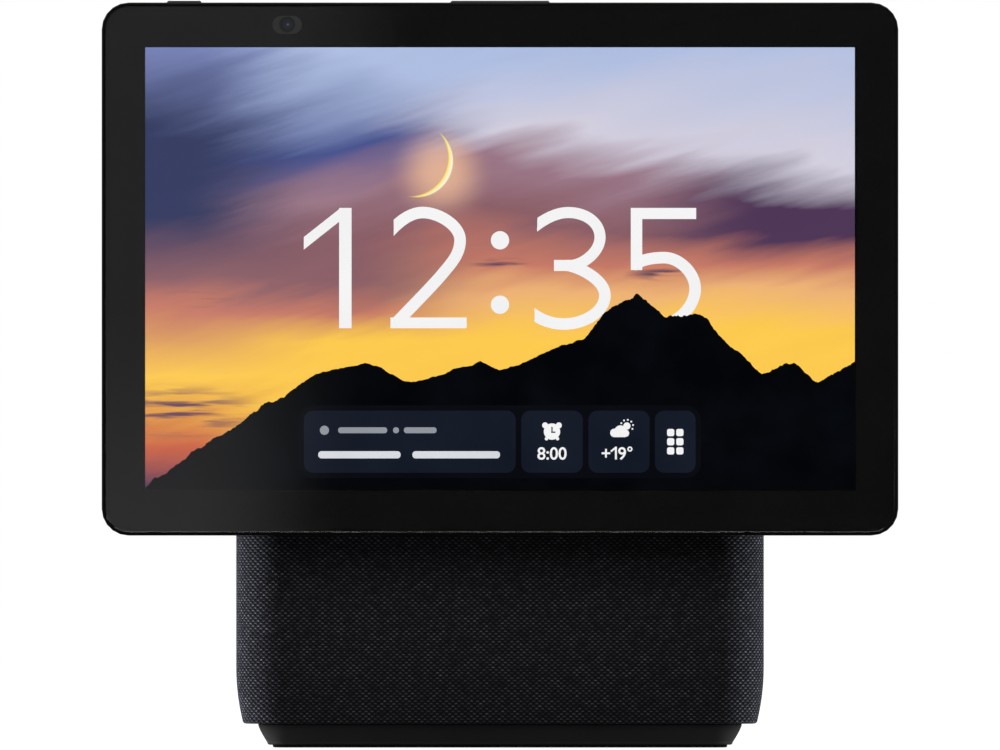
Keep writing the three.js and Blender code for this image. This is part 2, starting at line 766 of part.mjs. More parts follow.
// An eye round the pivot with a flat tail that runs along Y to a given place.
function eyeAndTail(x0, x1, tailY, halfTail) {
  return [
    rodX(EYE_RADIUS, x0, x1, PIVOT_Y, PIVOT_HEIGHT),
    box(x0, x1, Math.min(PIVOT_Y, tailY), Math.max(PIVOT_Y, tailY), PIVOT_HEIGHT - halfTail, PIVOT_HEIGHT + halfTail),
  ];
}
const pinHole = rodX(bore, -BRACKET_WIDTH, BRACKET_WIDTH, PIVOT_Y, PIVOT_HEIGHT);
piece(
  "base",
  "hinge_bracket",
  cut(
    join(
      box(
        -BRACKET_WIDTH / 2,
        BRACKET_WIDTH / 2,
        bracketFace,
        bracketFace + BRACKET_THICKNESS,
        PIVOT_HEIGHT - BRACKET_BELOW,
        PIVOT_HEIGHT + BRACKET_ABOVE,
      ),
      ...both(armInner, armOuter).flatMap(([a, b]) => eyeAndTail(a, b, bracketFace + 1, EYE_RADIUS - 0.6)),
    ),
    pinHole,
    box(-11, 11, bracketFace - 1, bracketFace + 8, PIVOT_HEIGHT - 5, PIVOT_HEIGHT + 5),
    ...bossPlaces.map(([x, z]) => rodY(1.7, bracketFace - 1, bracketFace + 8, x, z, 12)),
  ),
  steel,
);
bossPlaces.forEach(([x, z], i) =>
  piece(
    "base",
    `bracket_screw_${i + 1}`,
    screwY(x, z, bracketFace + BRACKET_THICKNESS + 0.1, 1.8, BRACKET_THICKNESS + 3.2, 1.2),
    steel,
  ),
);
const washerInner = armOuter + 0.3;
const nutInner = washerInner + WASHER_THICKNESS + 0.2;
const pinEnd = nutInner + NUT_THICKNESS + 1;
piece("base", "hinge_pin", rodX(PIN_RADIUS, -pinEnd, pinEnd, PIVOT_Y, PIVOT_HEIGHT), steel);
both(washerInner, washerInner + WASHER_THICKNESS).forEach(([a, b], i) =>
  piece(
    "base",
    `hinge_washer_${i ? "right" : "left"}`,
    cut(rodX(EYE_RADIUS, a, b, PIVOT_Y, PIVOT_HEIGHT), pinHole),
    darkSteel,
  ),
);
both(nutInner, nutInner + NUT_THICKNESS).forEach(([a, b], i) =>
  piece(
    "base",
    `hinge_nut_${i ? "right" : "left"}`,
    cut(rodX(EYE_RADIUS, a, b, PIVOT_Y, PIVOT_HEIGHT, 6), pinHole),
    steel,
  ),
);
// The plastic escutcheon that the arms and the ribbon cable come out of.
const ribbonZ = PIVOT_HEIGHT + PIN_RADIUS + 0.8;
const shroudBlock = cut(
  common(cabinetForm(-SHROUD_PROUD, BODY_BOTTOM), shroudHole(0)),
  cabinetForm(INSIDE_INSET, cabinetBottom),
);
const shroudSlots = both(armInner - SLIDE_GAP, armOuter + SLIDE_GAP).map(([a, b]) =>
  box(a, b, inside(-10), inside(40), PIVOT_HEIGHT - EYE_RADIUS, PIVOT_HEIGHT + EYE_RADIUS),
);
const RIBBON_HALF_WIDTH = 8;
const ribbonSlot = (y0, y1, below, above) =>
  box(-RIBBON_HALF_WIDTH - 1, RIBBON_HALF_WIDTH + 1, y0, y1, ribbonZ - below, ribbonZ + above);
const frontHalf = box(-SHROUD_WIDTH, SHROUD_WIDTH, inside(-10), inside(30), 0, BODY_TOP);
piece(
  "base",
  "hinge_shroud",
  cut(common(shroudBlock, frontHalf), ...shroudSlots, ribbonSlot(inside(-10), inside(30), 1, 1)),
  blackPlastic,
);
piece(
  "base",
  "display_ribbon",
  box(
    -RIBBON_HALF_WIDTH,
    RIBBON_HALF_WIDTH,
    PIVOT_Y + 0.5,
    boardBack - 22,
    ribbonZ - 0.2,
    ribbonZ + 0.2,
  ),
  copper,
);
// The display's half: a plate on the chassis with an ear inside each arm.
const plateFront = depth(FRAME_BACK - 0.2);
const plateLow = PIVOT_HEIGHT - 12;
const plateHigh = PIVOT_HEIGHT + 30;
const earOuter = armInner - SLIDE_GAP;
const plateScrews = [[-22, PIVOT_HEIGHT + 22], [22, PIVOT_HEIGHT + 22]];
piece(
  "display",
  "hinge_plate",
  cut(
    join(
      box(
        -HINGE_PLATE_WIDTH / 2,
        HINGE_PLATE_WIDTH / 2,
        plateFront,
        plateFront + HINGE_PLATE_THICKNESS,
        plateLow,
        plateHigh,
      ),
      ...both(earOuter - EAR_THICKNESS, earOuter).flatMap(([a, b]) =>
        eyeAndTail(a, b, plateFront + 1, EYE_RADIUS - 0.2),
      ),
    ),
    pinHole,
    ...plateScrews.map(([x, z]) => rodY(1.5, plateFront - 1, plateFront + 4, x, z, 12)),
  ),
  steel,
);
plateScrews.forEach(([x, z], i) =>
  piece(
    "display",
    `plate_screw_${i ? "right" : "left"}`,
    screwY(x, z, plateFront + HINGE_PLATE_THICKNESS + 0.1, 1.5, 2.5, 1.2),
    steel,
  ),
);

// ---- Display head: frame, glass, panel, chassis, back cover -------------------------------------

const frameForm = loft([
  displayRing(RIM_ROUND * 0, RIM_ROUND),
  displayRing(RIM_ROUND * 0.3, RIM_ROUND * 0.3),
  displayRing(RIM_ROUND, 0),
  displayRing(FRAME_BACK, 0),
]);
const rectHole = (halfWidth, low, high, d0, d1) =>
  box(-halfWidth, halfWidth, depth(d0), depth(d1), low, high);
const cameraZ = DISPLAY_TOP - CAMERA_DROP;
const bladeFront = ledgeDepth + 0.2;
const BLADE_THICKNESS = 0.4;
const trackDepth = bladeFront + BLADE_THICKNESS + 1.5;
const bladeLeft = CAMERA_X - WINDOW_HALF - SHUTTER_TRAVEL;
const bladeRight = CAMERA_X + WINDOW_HALF;
const BLADE_HALF_HEIGHT = 3.2;
const trackLeft = KNOB_X - KNOB_WIDTH / 2 - SLIDE_GAP;
const knobTrackRight = KNOB_X + KNOB_WIDTH / 2 + SHUTTER_TRAVEL + SLIDE_GAP;
const trackRight = bladeRight + SHUTTER_TRAVEL + SLIDE_GAP;
const knobMiddle = bladeFront + BLADE_THICKNESS + 0.1 + KNOB_THICKNESS / 2;
const rockerMiddle = 4.1;
const rockerLow = DISPLAY_TOP + BUTTON_PROUD - ROCKER_HEIGHT;
const rockerPivot = rockerLow + 1.5;
const rockerPocketLow = rockerLow - 3.6;
const microphoneX = 40;
piece(
  "display",
  "display_frame",
  cut(
    frameForm,
    // the glass pocket, the panel opening and the rear recess for the chassis
    loft([displayRing(-1, glassEdge - SEAM_GAP), displayRing(ledgeDepth, glassEdge - SEAM_GAP)]),
    rectHole(PANEL_WIDTH / 2 + 0.4, PANEL_BOTTOM - 0.4, PANEL_TOP + 0.4, 0, FRAME_BACK + 1),
    rectHole(
      PANEL_WIDTH / 2 + CHASSIS_LAP + 0.4,
      PANEL_BOTTOM - CHASSIS_LAP - 0.4,
      PANEL_TOP + CHASSIS_TOP_LAP + 0.4,
      chassisFront - 0.1,
      FRAME_BACK + 1,
    ),
    // the shutter's track, the camera's pocket and the knob's slot
    box(trackLeft, trackRight, depth(0), depth(trackDepth), cameraZ - BLADE_HALF_HEIGHT - 0.4, cameraZ + BLADE_HALF_HEIGHT + 0.4),
    box(CAMERA_X - 4.4, CAMERA_X + 4.4, depth(0), depth(FRAME_BACK - 0.4), cameraZ - 3.9, cameraZ + 3.9),
    box(
      trackLeft,
      knobTrackRight,
      depth(knobMiddle - KNOB_THICKNESS / 2 - 0.3),
      depth(knobMiddle + KNOB_THICKNESS / 2 + 0.3),
      DISPLAY_TOP - 1.1,
      DISPLAY_TOP + 1,
    ),
    box(
      KNOB_X - 3.4,
      KNOB_X + 3.4 + SHUTTER_TRAVEL,
      depth(knobMiddle - 1.1),
      depth(knobMiddle + 1.1),
      cameraZ,
      DISPLAY_TOP,
    ),
    // the rocker's pocket and its pin's holes
    box(
      -ROCKER_WIDTH / 2 - SLIDE_GAP,
      ROCKER_WIDTH / 2 + SLIDE_GAP,
      depth(rockerMiddle - ROCKER_THICKNESS / 2 - 0.25),
      depth(rockerMiddle + ROCKER_THICKNESS / 2 + 0.25),
      rockerPocketLow,
      DISPLAY_TOP + 1,
    ),
    rodY(ROCKER_PIN_RADIUS + 0.1, depth(ledgeDepth + 0.6), depth(FRAME_BACK - 0.3), 0, rockerPivot, 12),
    // the microphones' pockets and sound holes
    ...sides.flatMap((s) => [
      box(s * microphoneX - 2.6, s * microphoneX + 2.6, depth(2.6), depth(FRAME_BACK + 1), DISPLAY_TOP - 6, DISPLAY_TOP - 3),
      rodZ(0.6, DISPLAY_TOP - 4, DISPLAY_TOP + 1, s * microphoneX, depth(4.1), 8),
    ]),
  ),
  blackPlastic,
);
piece(
  "display",
  "cover_glass",
  loft([displayRing(0, glassEdge + 0.25), displayRing(0.25, glassEdge), displayRing(glassBack, glassEdge)]),
  glass,
);
piece("display", "lcd_panel", rectHole(PANEL_WIDTH / 2, PANEL_BOTTOM, PANEL_TOP, panelFront, panelBack), screen);
piece(
  "display",
  "backlight_unit",
  rectHole(PANEL_WIDTH / 2, PANEL_BOTTOM, PANEL_TOP, panelBack + 0.1, backlightBack),
  aluminium,
);
piece(
  "display",
  "display_chassis",
  cut(
    rectHole(
      PANEL_WIDTH / 2 + CHASSIS_LAP,
      PANEL_BOTTOM - CHASSIS_LAP,
      PANEL_TOP + CHASSIS_TOP_LAP,
      chassisFront,
      chassisFront + CHASSIS_THICKNESS,
    ),
    ...plateScrews.map(([x, z]) => rodY(1.4, depth(chassisFront - 1), depth(chassisFront + 2), x, z, 10)),
  ),
  steel,
);
const displayBoardFront = chassisFront + CHASSIS_THICKNESS + SEAT_GAP;
piece(
  "display",
  "display_board",
  box(-62, 62, depth(displayBoardFront), depth(displayBoardFront + 1.6), PIVOT_HEIGHT + 34, PIVOT_HEIGHT + 74),
  board,
);
// The back cover: a thin border with a rounded edge, and a bulge that holds the hinge and board.
const coverFront = FRAME_BACK + SEAM_GAP;
const edgeRound = SKIN_BACK - coverFront - 0.4;
const quarter = (n) => Array.from({ length: n + 1 }, (_, i) => ((i / n) * Math.PI) / 2);
const coverSkin = loft([
  displayRing(coverFront, 0),
  ...quarter(4).map((a) => displayRing(SKIN_BACK - edgeRound * (1 - Math.sin(a)), edgeRound * (1 - Math.cos(a)))),
]);
const bulge = (inset, d0) => {
  const rise = BULGE_BACK - inset - SKIN_BACK;
  const levels = Array.from({ length: 7 }, (_, i) => {
    const t = i / 6; // an S-curve up the flank
    return [SKIN_BACK + rise * (0.5 - 0.5 * Math.cos(Math.PI * t)), BULGE_FLANK * t];
  });
  return loft(
    [[d0, 0], ...levels].map(([d, inFromEdge]) =>
      ringXZ(
        depth(d),
        BULGE_WIDTH / 2 - inset - inFromEdge,
        (BULGE_TOP - BULGE_BOTTOM) / 2 - inset - inFromEdge,
        BULGE_CORNER - inset - inFromEdge,
        (BULGE_TOP + BULGE_BOTTOM) / 2,
      ),
    ),
  );
};
const reach = BULGE_BACK - PIVOT_DEPTH;
const slotAbove = reach * Math.tan(TILT_BACK) + EYE_RADIUS / Math.cos(TILT_BACK) + SLIDE_GAP;
const slotBelow = reach * Math.tan(TILT_FORWARD) + EYE_RADIUS / Math.cos(TILT_FORWARD) + SLIDE_GAP;
const coverSlots = both(armInner - 2 * SLIDE_GAP, armOuter + 2 * SLIDE_GAP).map(([a, b]) =>
  box(a, b, PIVOT_Y, depth(BULGE_BACK + 2), PIVOT_HEIGHT - slotBelow, PIVOT_HEIGHT + slotAbove),
);
piece(
  "display",
  "display_back_cover",
  cut(
    join(coverSkin, bulge(0, SKIN_BACK - 1)),
    loft([displayRing(coverFront - 1, COVER_WALL), displayRing(SKIN_BACK - COVER_WALL, COVER_WALL)]),
    bulge(COVER_WALL, SKIN_BACK - COVER_WALL - 1),
    ...coverSlots,
    ribbonSlot(PIVOT_Y, depth(BULGE_BACK + 2), 2, reach * Math.tan(TILT_BACK) + 2),
  ),
  blackPlastic,
);

// ---- Camera, microphones ------------------------------------------------------------------------

const cameraFront = trackDepth - 0.4;
piece(
  "display",
  "camera_module",
  cut(
    join(
      box(CAMERA_X - 4, CAMERA_X + 4, depth(cameraFront), depth(FRAME_BACK - 0.7), cameraZ - 3.1, cameraZ + 3.5),
      rodY(2.6, depth(bladeFront + BLADE_THICKNESS + 0.3), depth(cameraFront + 0.1), CAMERA_X, cameraZ, 20),
    ),
    rodY(1.9, depth(0), depth(cameraFront + 0.4), CAMERA_X, cameraZ, 16),
  ),
  blackPlastic,
);
piece(
  "display",
  "camera_lens",
  rodY(1.6, depth(bladeFront + BLADE_THICKNESS + 0.6), depth(cameraFront + 0.1), CAMERA_X, cameraZ, 16),
  glass,
);
sides.forEach((s, i) =>
  piece(
    "display",
    `microphone_${i ? "right" : "left"}`,
    box(s * microphoneX - 2.2, s * microphoneX + 2.2, depth(3), depth(FRAME_BACK - 0.6), DISPLAY_TOP - 5.6, DISPLAY_TOP - 4.3),
    steel,
  ),
);

// ---- Privacy slider: knob, link and shutter blade move as one -----------------------------------

piece(
  "privacy",
  "shutter_blade",
  cut(
    box(bladeLeft, bladeRight, depth(bladeFront), depth(bladeFront + BLADE_THICKNESS), cameraZ - BLADE_HALF_HEIGHT, cameraZ + BLADE_HALF_HEIGHT),
    rodY(LENS_HOLE, depth(0), depth(bladeFront + 2), CAMERA_X, cameraZ, 24),
  ),
  satinPlastic,
);
const linkFront = bladeFront + BLADE_THICKNESS + 0.1;
piece(
  "privacy",
  "shutter_link",
  box(KNOB_X - 3, bladeLeft + 1.6, depth(linkFront), depth(linkFront + 0.8), cameraZ - 1.4, cameraZ + 1.4),
  steel,
);
piece(
  "privacy",
  "privacy_knob",
  join(
    alongY(
      roundedShape(KNOB_WIDTH, 0.9 + BUTTON_PROUD, 0.5, KNOB_X, DISPLAY_TOP - 0.9 + (0.9 + BUTTON_PROUD) / 2),
      depth(knobMiddle - KNOB_THICKNESS / 2),
      depth(knobMiddle + KNOB_THICKNESS / 2),
      3,
    ),
    box(KNOB_X - 3, KNOB_X + 3, depth(knobMiddle - 0.8), depth(knobMiddle + 0.8), cameraZ + 1.5, DISPLAY_TOP - 0.6),
  ),
  satinPlastic,
);

// ---- Volume rocker ------------------------------------------------------------------------------

piece(
  "rocker",
  "volume_rocker",
  cut(
    alongY(
      roundedShape(ROCKER_WIDTH, ROCKER_HEIGHT, 0.6, 0, rockerLow + ROCKER_HEIGHT / 2),
      depth(rockerMiddle - ROCKER_THICKNESS / 2),
      depth(rockerMiddle + ROCKER_THICKNESS / 2),
      3,
    ),
    rodY(ROCKER_PIN_RADIUS + 0.15, depth(0), depth(FRAME_BACK + 1), 0, rockerPivot, 12),
    // relief under the middle, so that only the ends reach the switches
    box(-SWITCH_X + 3, -1.6, depth(0), depth(FRAME_BACK), rockerLow - 1, rockerLow + 1.2),
    box(1.6, SWITCH_X - 3, depth(0), depth(FRAME_BACK), rockerLow - 1, rockerLow + 1.2),
  ),
  satinPlastic,
);
piece(
  "display",
  "rocker_pin",
  rodY(ROCKER_PIN_RADIUS, depth(ledgeDepth + 0.8), depth(FRAME_BACK - 0.5), 0, rockerPivot, 12),
  steel,
);
sides.forEach((s, i) =>
  piece(
    "display",
    `volume_switch_${i ? "up" : "down"}`,
    join(
      box(
        s * SWITCH_X - 2.4,
        s * SWITCH_X + 2.4,
        depth(rockerMiddle - 1.3),
        depth(rockerMiddle + 1.3),
        rockerPocketLow + 0.3,
        rockerPocketLow + 2.2,
      ),
      rodZ(0.8, rockerPocketLow + 2, rockerLow - 0.35, s * SWITCH_X, depth(rockerMiddle), 10),
    ),
    steel,
  ),
);

// ---- The whole object ---------------------------------------------------------------------------

const smartDisplay = new THREE.Group();
smartDisplay.name = "smart_display";
smartDisplay.add(...Object.values(bodyOf));
export default smartDisplay;
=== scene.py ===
import math

import bmesh
import bpy
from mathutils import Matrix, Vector, noise


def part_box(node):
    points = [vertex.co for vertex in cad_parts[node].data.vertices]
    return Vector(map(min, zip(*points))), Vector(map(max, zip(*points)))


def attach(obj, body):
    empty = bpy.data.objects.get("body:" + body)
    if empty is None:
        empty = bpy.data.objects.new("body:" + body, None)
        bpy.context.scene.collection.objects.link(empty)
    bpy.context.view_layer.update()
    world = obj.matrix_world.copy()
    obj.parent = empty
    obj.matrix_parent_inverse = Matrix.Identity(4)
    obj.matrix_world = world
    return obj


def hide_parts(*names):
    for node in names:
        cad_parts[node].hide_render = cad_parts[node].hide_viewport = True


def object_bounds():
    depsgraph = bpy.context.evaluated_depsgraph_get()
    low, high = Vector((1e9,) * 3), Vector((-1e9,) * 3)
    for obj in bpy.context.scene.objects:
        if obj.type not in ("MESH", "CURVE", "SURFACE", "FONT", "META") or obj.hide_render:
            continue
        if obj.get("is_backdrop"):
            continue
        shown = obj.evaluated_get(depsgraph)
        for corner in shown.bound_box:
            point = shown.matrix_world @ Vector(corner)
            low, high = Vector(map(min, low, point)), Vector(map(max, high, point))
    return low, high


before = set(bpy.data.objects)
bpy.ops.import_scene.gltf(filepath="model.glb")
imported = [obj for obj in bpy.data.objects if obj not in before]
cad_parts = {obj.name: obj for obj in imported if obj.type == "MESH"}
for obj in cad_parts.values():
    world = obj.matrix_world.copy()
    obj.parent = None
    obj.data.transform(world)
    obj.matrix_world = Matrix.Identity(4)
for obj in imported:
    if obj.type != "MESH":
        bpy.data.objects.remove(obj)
cad_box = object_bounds()

# ---- Camera -------------------------------------------------------------------------------------
# The camera stands level with the middle of the picture, far off behind a very long lens, so that
# widths and heights show in their true proportion.
FACE_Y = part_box("cover_glass")[0].y
LENS_MM = 1250.0
VIEW_WIDTH = 0.3058  # metres across the frame, at the glass
VIEW_MIDDLE = 0.1143
camera_data = bpy.data.cameras.new("studio_camera")
camera_data.lens = LENS_MM
camera_data.sensor_width = 36.0
camera_data.clip_start = 0.5
camera_data.clip_end = 60.0
camera = bpy.data.objects.new("studio_camera", camera_data)
bpy.context.scene.collection.objects.link(camera)
camera.location = (0, FACE_Y - VIEW_WIDTH * LENS_MM / 36.0, VIEW_MIDDLE)
camera.rotation_euler = (math.pi / 2, 0, 0)
bpy.context.scene.camera = camera
bpy.context.scene.view_settings.view_transform = "Standard"

# ---- Studio -------------------------------------------------------------------------------------
# A white acrylic table lit from below, a white room, a large soft box over the front, a tall soft
# box at each side, and a dim card in front on the left that shows in the glass.


def linear(hex_colour):
    """An sRGB hex colour as linear red, green, blue and alpha."""
    parts = [int(hex_colour[i : i + 2], 16) / 255 for i in (1, 3, 5)]
    return tuple(p / 12.92 if p <= 0.04045 else ((p + 0.055) / 1.055) ** 2.4 for p in parts) + (1.0,)


def feed(tree, node, inputs):
    """Fills inputs: each takes a number, a hex colour, an output, or a node for its first output."""
    for socket, value in inputs.items():
        if isinstance(value, bpy.types.Node):
            value = value.outputs[0]
        if isinstance(value, bpy.types.NodeSocket):
            tree.links.new(value, node.inputs[socket])
        else:
            node.inputs[socket].default_value = linear(value) if isinstance(value, str) else value


def wire(tree, kind, inputs=None, stops=None, **settings):
    """Adds a shader node with its settings, its inputs and the stops of its colour scale."""
    made = tree.nodes.new("ShaderNode" + kind)
    for key, value in settings.items():
        setattr(made, key, value)
    feed(tree, made, inputs or {})
    if stops:
        elements = made.color_ramp.elements
        while len(elements) < len(stops):
            elements.new(1.0)
        for element, (place, colour) in zip(elements, stops):
            element.position = place
            element.color = linear(colour)
    return made


def start_material(name, **constants):
    """A new material: the material, its node tree and its shader with the constants set."""
    material = bpy.data.materials.new(name)
    material.use_nodes = True
    tree = material.node_tree
    shader = tree.nodes["Principled BSDF"]
    feed(tree, shader, {socket.replace("_", " "): value for socket, value in constants.items()})
    return material, tree, shader


def modify(piece, kind, **settings):
    """Adds a modifier with its settings to the active piece and applies it."""
    modifier = piece.modifiers.new(kind.lower(), kind)
    for key, value in settings.items():
        setattr(modifier, key, value)
    bpy.ops.object.modifier_apply(modifier=modifier.name)


def finish_piece(piece, name, material, smooth=35.0):
    """Names a piece, puts its place in its mesh and gives it its material."""
    bpy.ops.object.mode_set(mode="OBJECT")
    bpy.ops.object.select_all(action="DESELECT")
    piece.select_set(True)
    bpy.context.view_layer.objects.active = piece
    bpy.ops.object.transform_apply(location=True, rotation=True, scale=True)
    bpy.ops.object.shade_smooth_by_angle(angle=math.radians(smooth))
    piece.name = piece.data.name = name
    piece.data.materials.clear()
    piece.data.materials.append(material)
    return piece


# the table glows more away from the object, so that only the soft shadow round the foot shows
table_white, tree, shader = start_material(
    "matt_white_acrylic", Base_Color="#484848", Roughness=0.8, Specular_IOR_Level=0.0
)
place = wire(tree, "TexCoord").outputs["Object"]
reach = wire(tree, "VectorMath", {0: place}, operation="LENGTH")
glow = wire(
    tree,
    "MapRange",
    {"Value": reach.outputs["Value"], "From Min": 0.10, "From Max": 0.40, "To Min": 0.97, "To Max": 1.1},
    interpolation_type="SMOOTHSTEP",
)
seen = wire(tree, "LightPath")
glow_seen = wire(tree, "MapRange", {"Value": seen.outputs["Is Camera Ray"], "To Min": 0.03, "To Max": glow})
feed(tree, shader, {"Emission Strength": glow_seen, "Emission Color": (1, 1, 1, 1)})
bpy.ops.object.select_all(action="DESELECT")
bpy.ops.mesh.primitive_circle_add(vertices=96, radius=3.0, fill_type="NGON", location=(0, 0, -0.0002))
floor = finish_piece(bpy.context.object, "studio_floor", table_white)
floor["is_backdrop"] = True

world = bpy.data.worlds.new("white_room")
world.use_nodes = True
bpy.context.scene.world = world
tree = world.node_tree
room_light = tree.nodes["Background"]
feed(tree, room_light, {"Strength": 0.07, "Color": (1, 1, 1, 1)})
room_seen = wire(tree, "Background", {"Color": (1, 1, 1, 1), "Strength": 1.0})
seen = wire(tree, "LightPath")
room = wire(tree, "MixShader", {0: seen.outputs["Is Camera Ray"], 1: room_light, 2: room_seen})
feed(tree, tree.nodes["World Output"], {"Surface": room})

for name, spot, size, watts in (
    ("front_box", (0.0, -1.4, 0.72), (1.4, 0.9), 8.0),
    ("left_box", (-1.1, 0.02, 0.28), (0.45, 0.7), 39.0),
    ("right_box", (1.1, 0.07, 0.28), (0.45, 0.7), 28.0),
    ("back_top_box", (0.0, 1.1, 1.3), (1.2, 0.5), 3.5),
):
    lamp = bpy.data.lights.new(name, "AREA")
    lamp.shape = "RECTANGLE"
    lamp.size, lamp.size_y = size
    lamp.energy = watts
    box = bpy.data.objects.new(name, lamp)
    bpy.context.scene.collection.objects.link(box)
    box.location = spot
    box.rotation_euler = (Vector((0, 0, 0.1)) - Vector(spot)).to_track_quat("-Z", "Y").to_euler()
    box.visible_camera = False
    # the side boxes stand level with the object, where they would whiten every flat seen along itself
    box.visible_glossy = name not in ("left_box", "right_box")

# the card is brighter towards its lower end and fades out along a slanted edge
CARD_DISTANCE = 0.8
card_light, tree, shader = start_material("diffusing_card")
place = wire(tree, "TexCoord").outputs["Object"]
slant = wire(tree, "Mapping", {"Vector": place, "Rotation": (0, math.radians(-9.6), 0)})
axes = wire(tree, "SeparateXYZ", {0: slant})
fade = wire(
    tree,
    "MapRange",
    {"Value": axes.outputs["X"], "From Min": -0.060, "From Max": -0.114, "To Min": 0.0, "To Max": 0.155},
    interpolation_type="SMOOTHSTEP",
)
fall = wire(
    tree,
    "MapRange",
    {"Value": axes.outputs["Z"], "From Min": 0.118, "From Max": 0.040, "To Min": 1.0, "To Max": 1.8},
    interpolation_type="SMOOTHSTEP",
)
card_glow = wire(tree, "Math", {0: fade, 1: fall}, operation="MULTIPLY")
lit = wire(tree, "Emission", {"Color": (1, 1, 1, 1), "Strength": card_glow})
feed(tree, tree.nodes["Material Output"], {"Surface": lit})
bpy.ops.object.select_all(action="DESELECT")
bpy.ops.mesh.primitive_plane_add(
    size=0.5, location=(-0.05, FACE_Y - CARD_DISTANCE, 0.13), rotation=(math.pi / 2, 0, 0)
)
card = finish_piece(bpy.context.object, "front_card", card_light)
card.visible_camera = card.visible_diffuse = card.visible_shadow = False
card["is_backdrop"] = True

# ---- Rubber foot --------------------------------------------------------------------------------
# A black rubber pad moulded in one piece and stuck in the recess under the plinth. Two
# grooves underneath hold it to the worktop.
UP, DOWN, FORWARD, BACKWARD = (0, 0, 1), (0, 0, -1), (0, -1, 0), (0, 1, 0)


def plate(width, height, centre, corner=0.0, facing=FORWARD, segments=12):
    """A flat rounded rectangle as one face, in edit mode and selected."""
    turn = {
        UP: (0, 0, 0),
        DOWN: (math.pi, 0, 0),
        FORWARD: (math.pi / 2, 0, 0),
        BACKWARD: (math.pi / 2, 0, math.pi),
    }[facing]
    bpy.ops.object.select_all(action="DESELECT")
    bpy.ops.mesh.primitive_plane_add(size=1, rotation=turn)
    made = bpy.context.object
    made.scale = (width, height, 1)
    bpy.ops.object.transform_apply(location=False, rotation=True, scale=True)
    bpy.ops.object.mode_set(mode="EDIT")
    bpy.ops.mesh.select_all(action="SELECT")
    if corner:
        bpy.ops.mesh.bevel(offset=corner, segments=segments, affect="VERTICES")
        bpy.ops.mesh.select_all(action="SELECT")
    bpy.ops.transform.translate(value=centre)
    return made


def carry(steps, along):
    """Takes the selected face through steps of (inwards, onwards) in the direction along."""
    for inwards, onwards in steps:
        way = tuple(onwards * part for part in along)
        if inwards:
            bpy.ops.mesh.inset(thickness=inwards, depth=0)
            bpy.ops.transform.translate(value=way)
        else:
            bpy.ops.mesh.extrude_region_move(TRANSFORM_OT_translate={"value": way})


def rounding(radius, steps):
    """The steps of a rounded edge, from the wall to the flat face."""
    turns = [i / steps * math.pi / 2 for i in range(steps + 1)]
    return [
        (radius * (math.cos(a) - math.cos(b)), radius * (math.sin(b) - math.sin(a)))
        for a, b in zip(turns, turns[1:])
    ]


def select_parts(piece, kind, test):
    """Selects, in edit mode, only the vertices, edges or faces that pass a test."""
    bpy.context.tool_settings.mesh_select_mode = [kind == word for word in ("verts", "edges", "faces")]
    mesh = bmesh.from_edit_mesh(piece.data)
    for word in ("verts", "edges", "faces"):
        for part in getattr(mesh, word):
            part.select = False
    for part in getattr(mesh, kind):
        if test(part):
            part.select_set(True)
    mesh.select_flush_mode()
    bmesh.update_edit_mesh(piece.data)


def close_up():
    """In edit mode: merges doubles, fills the open base and turns every face outwards."""
    bpy.ops.mesh.select_all(action="SELECT")
    bpy.ops.mesh.remove_doubles(threshold=1e-7)
    bpy.ops.mesh.fill_holes(sides=0)
    bpy.ops.mesh.select_all(action="SELECT")
    bpy.ops.mesh.normals_make_consistent(inside=False)


# nitrile rubber: dull, with the fine matt grain of its mould
foot_rubber, tree, shader = start_material(
    "moulded_nitrile_rubber", Roughness=0.82, IOR=1.52, Specular_IOR_Level=0.35
)
place = wire(tree, "TexCoord").outputs["Object"]
cloud = wire(tree, "TexNoise", {"Vector": place, "Scale": 55.0, "Detail": 3.0})
dusty = wire(tree, "ValToRGB", {0: cloud}, stops=[(0.35, "#121212"), (0.7, "#191919")])
grit = wire(tree, "TexNoise", {"Vector": place, "Scale": 2600.0, "Detail": 2.0})
dents = wire(tree, "Bump", {"Strength": 0.3, "Distance": 0.0001, "Height": grit})
feed(tree, shader, {"Base Color": dusty, "Normal": dents})

low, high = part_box("rubber_foot")
middle_y = (low.y + high.y) / 2
foot = plate(high.x - low.x, high.y - low.y, (0, middle_y, high.z), 0.0052, DOWN)
carry([(0, high.z - low.z - 0.0005)] + rounding(0.0005, 4), DOWN)
for _ in range(2):
    carry([(0.0009, 0), (0.0003, -0.0004), (0.0005, 0), (0.0003, 0.0004)], DOWN)
close_up()
finish_piece(foot, "rubber_foot_pad", foot_rubber)
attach(foot, "base")
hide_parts("rubber_foot")

# ---- Plinth -------------------------------------------------------------------------------------
# The moulded foot that the cabinet stands on, screwed to the tray from below. It is satin black
# ABS, and its sides draw in towards the table.


